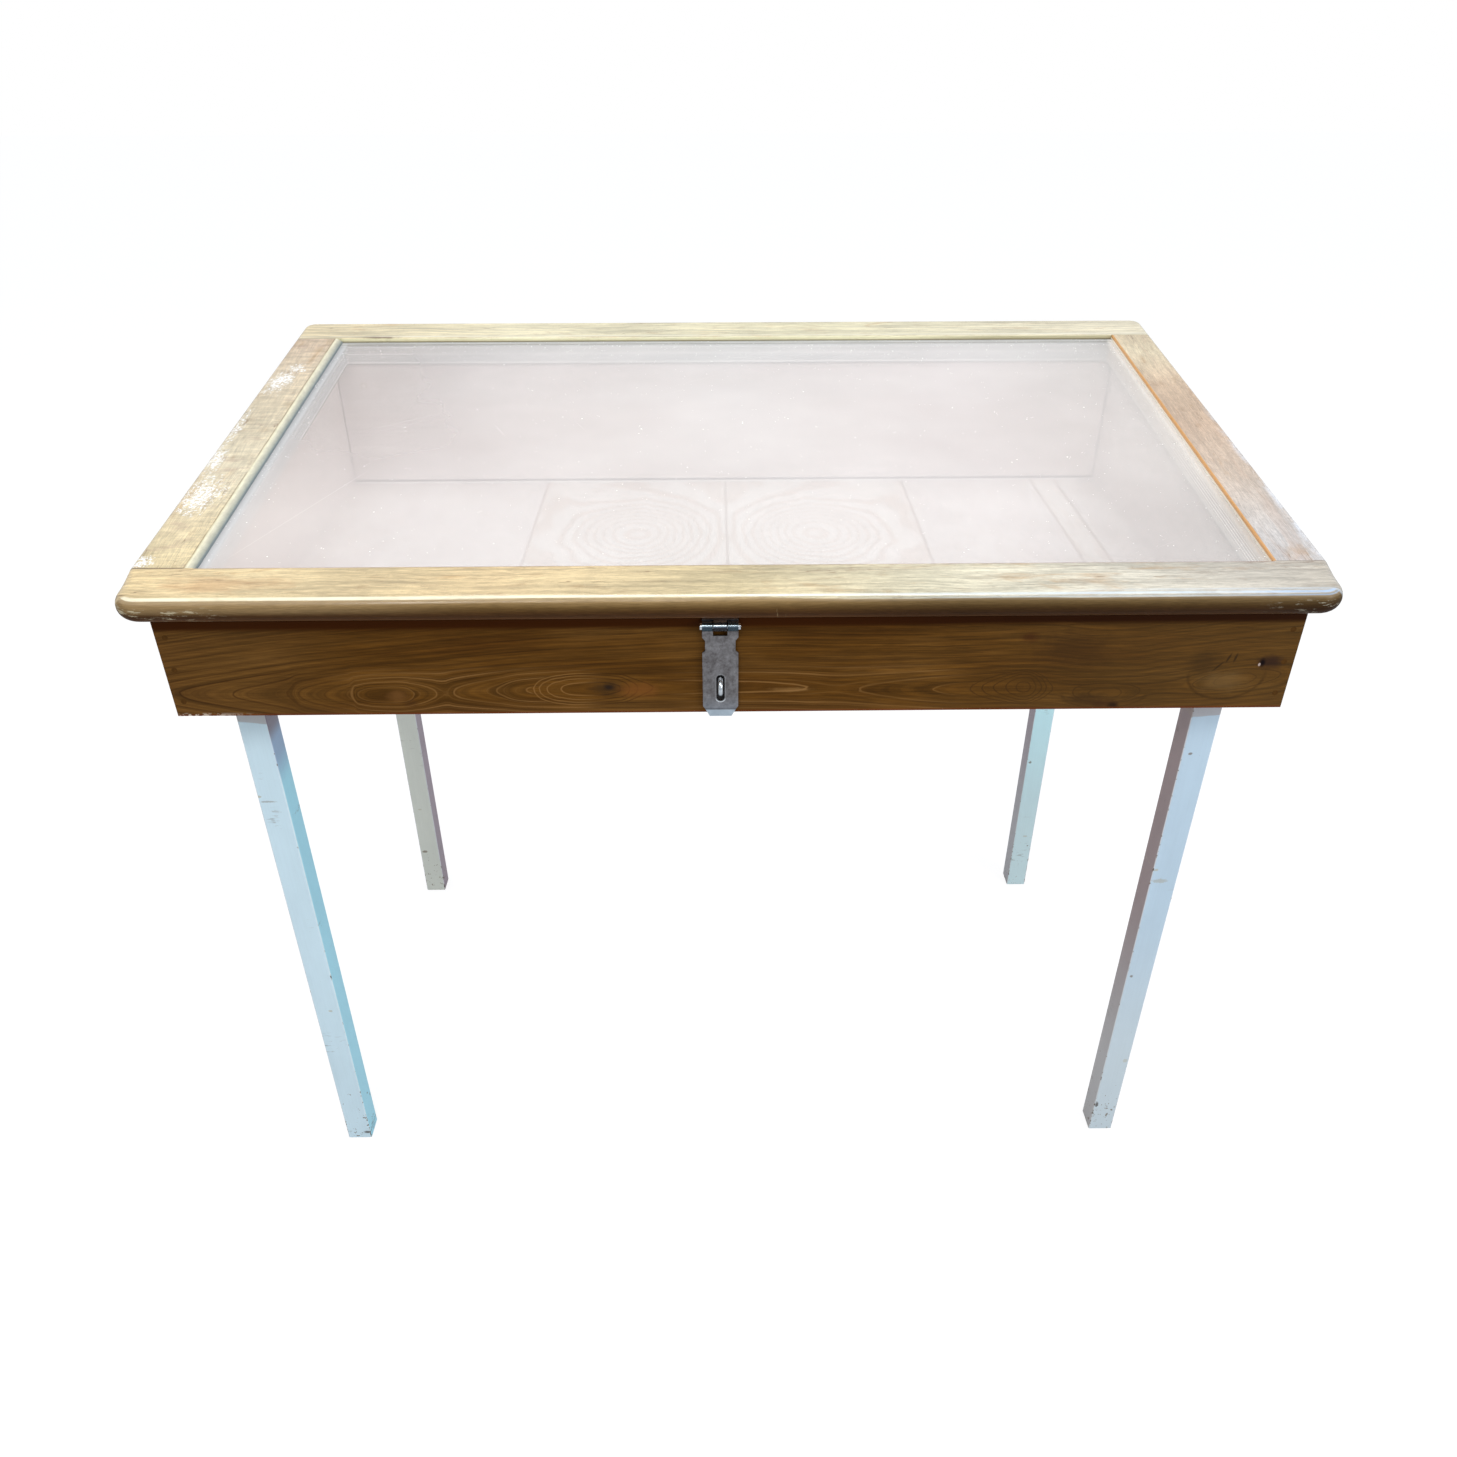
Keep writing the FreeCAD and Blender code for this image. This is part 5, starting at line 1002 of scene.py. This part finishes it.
dress(leg_material("paint_back_left", 1.7, (220, 224, 214), (168, 152, 164), (176, 168, 172),
                   [((-0.532, 0.088), (0.006, 0.003), 0.7, TIMBER),
                    ((-0.528, 0.18), (0.004, 0.002), 0.5, PLUG)]), "leg_back_left")
dress(leg_material("paint_back_right", 2.4, (206, 248, 255), (206, 216, 222), (160, 142, 152),
                   [((0.514, 0.267), (0.0032, 0.0032), 0.75, TIMBER),
                    ((0.527, 0.11), (0.005, 0.002), 0.5, PLUG)]), "leg_back_right")

# each rim is the same pale wood, painted in the tone that light and reflection give its side: warm at the
# front, grey at the back, bluish at the left, cream at the right
for side, tones, lengthwise, seed in (
        ("front", ((196, 176, 150), (214, 196, 172)), True, 0),
        ("back", ((188, 192, 194), (206, 208, 208)), True, 2),
        ("left", ((190, 200, 206), (206, 214, 218)), False, 4),
        ("right", ((228, 218, 208), (240, 231, 222)), False, 6)):
    dress(rim_material("rim_%s_wood" % side, tones, lengthwise, seed), "rim_" + side)

dress(plain_wood_material("sawn_wood", (126, 98, 64), (152, 120, 82)), "leg_bearer_left", "leg_bearer_right")
ZINC = ((132, 134, 138), (172, 174, 178))
dress(metal_material("aged_plated_steel", (98, 94, 94), (157, 156, 158), 0.3, 0.48, 0.9, 1, 0.12, hasp_wear),
      "hasp_strap", "hasp_leaf")
# the staple plate, with painted shade round the loop under the strap
dress(metal_material("shaded_zinc_plate", *ZINC, 0.34, 0.5, 0.95, extra=plate_shade), "staple_plate")
dress(metal_material("bright_plated_steel", (214, 224, 232), (244, 250, 252), 0.1, 0.22, 1, 2),
      "hasp_pin", "staple_loop")
dress(metal_material("zinc_plate", *ZINC, 0.34, 0.5, 0.95), "hanger_bolts", "leg_plate_front_left",
      "leg_plate_front_right", "leg_plate_back_left", "leg_plate_back_right")
dress(metal_material("dull_brass", (146, 116, 60), (184, 154, 92), 0.3, 0.48, 1, 1, 0.15),
      "hinge_case_leaves", "hinge_lid_leaves", "hinge_pins", "hinge_case_screws", "hinge_lid_screws")
dress(metal_material("dull_screw_steel", (104, 100, 94), (146, 142, 136), 0.36, 0.52, 0.95, 3, 0.2),
      "leg_plate_screws", "bearer_screws", "staple_screws", "rim_screws", "hasp_leaf_screws")
dress(metal_material("stained_nail_steel", (72, 46, 17), (88, 58, 24), 0.75, 0.9, 0, 3, 0.1),
      "corner_nails")

# Floor, background and lights

def seen_white(tree, output, plain, white, share=None):
    """Join a plain shader with a white one that only rays from the camera, or through the glass, see."""
    tree.nodes.clear()
    out = tree.nodes.new(output)
    rays = tree.nodes.new("ShaderNodeLightPath")
    amount = tree.nodes.new("ShaderNodeMath")
    amount.operation = "MAXIMUM"
    tree.links.new(rays.outputs["Is Camera Ray"], amount.inputs[0])
    tree.links.new(rays.outputs["Is Transmission Ray"], amount.inputs[1])
    if share is not None:
        part = tree.nodes.new("ShaderNodeMath")
        part.operation = "MULTIPLY"
        part.inputs[1].default_value = share
        tree.links.new(amount.outputs[0], part.inputs[0])
        amount = part
    both = tree.nodes.new("ShaderNodeMixShader")
    tree.links.new(amount.outputs[0], both.inputs[0])
    for place, (kind, *values) in enumerate((plain, white), 1):
        shader = tree.nodes.new(kind)
        for socket, value in zip(shader.inputs, values):
            socket.default_value = value
        tree.links.new(shader.outputs[0], both.inputs[place])
    tree.links.new(both.outputs[0], out.inputs[0])


WHITE = (1.0, 1.0, 1.0, 1.0)
PALE_GREY = (0.60, 0.60, 0.61, 1.0)
PALE_BLUE = (0.93, 0.96, 1.0, 1.0)
FLOOR_REACH = 14.0
FLOOR_LEVEL = -0.0006
FLOOR_WHITE = 1.39
FLOOR_WHITE_SHARE = 0.62
SKY_LIGHT = 0.62


def floor_stage():
    mesh = bpy.data.meshes.new("floor")
    signs = ((-1, -1), (1, -1), (1, 1), (-1, 1))
    mesh.from_pydata([(x * FLOOR_REACH, y * FLOOR_REACH, FLOOR_LEVEL) for x, y in signs], [], [(0, 1, 2, 3)])
    floor = bpy.data.objects.new("floor", mesh)
    bpy.context.scene.collection.objects.link(floor)
    material = bpy.data.materials.new("pale_floor")
    material.use_nodes = True
    seen_white(material.node_tree, "ShaderNodeOutputMaterial", ("ShaderNodeBsdfDiffuse", PALE_GREY),
               ("ShaderNodeEmission", WHITE, FLOOR_WHITE), FLOOR_WHITE_SHARE)
    mesh.materials.append(material)


def world_light():
    world = bpy.data.worlds.new("studio")
    bpy.context.scene.world = world
    world.use_nodes = True
    seen_white(world.node_tree, "ShaderNodeOutputWorld", ("ShaderNodeBackground", PALE_BLUE, SKY_LIGHT),
               ("ShaderNodeBackground", WHITE, 1.0))


def area_light(name, place, target, size, power, colour):
    data = bpy.data.lights.new(name, "AREA")
    data.shape = "RECTANGLE"
    data.size = size[0]
    data.size_y = size[1]
    data.energy = power
    data.color = colour
    lamp = bpy.data.objects.new(name, data)
    lamp.location = place
    lamp.rotation_euler = (Vector(target) - Vector(place)).to_track_quat("-Z", "Y").to_euler()
    bpy.context.scene.collection.objects.link(lamp)


floor_stage()
world_light()
area_light("key", (-0.6, -2.1, 2.9), (0.0, -0.1, 0.7), (1.1, 0.7), 27.0, (1.0, 0.985, 0.96))
area_light("overhead", (0.1, 0.05, 2.9), (0.05, 0.0, 0.8), (2.6, 0.28), 18.0, (1.0, 0.99, 0.975))
area_light("fill", (2.4, -1.9, 1.5), (0.0, 0.0, 0.5), (1.4, 1.4), 28.0, (0.92, 0.96, 1.0))

# Camera at the photograph's place

LENS = 28.558
CAMERA_X = -0.0170
BEFORE_LID = 1.0004
OVER_LID = 0.4867
LOOK_DOWN = 0.5638
TURN = -0.0128
ROLL = -0.0015
camera_data = bpy.data.cameras.new("camera")
camera_data.sensor_width = 36.0
camera_data.lens = LENS
camera = bpy.data.objects.new("camera", camera_data)
camera.location = (CAMERA_X, LID_Y - BEFORE_LID, LID_Z + OVER_LID)
camera.rotation_euler = (Euler((math.pi / 2 - LOOK_DOWN, 0.0, TURN)).to_matrix()
                         @ Matrix.Rotation(ROLL, 3, "Z")).to_euler()
bpy.context.scene.collection.objects.link(camera)
bpy.context.scene.camera = camera
bpy.context.scene.view_settings.view_transform = "Standard"
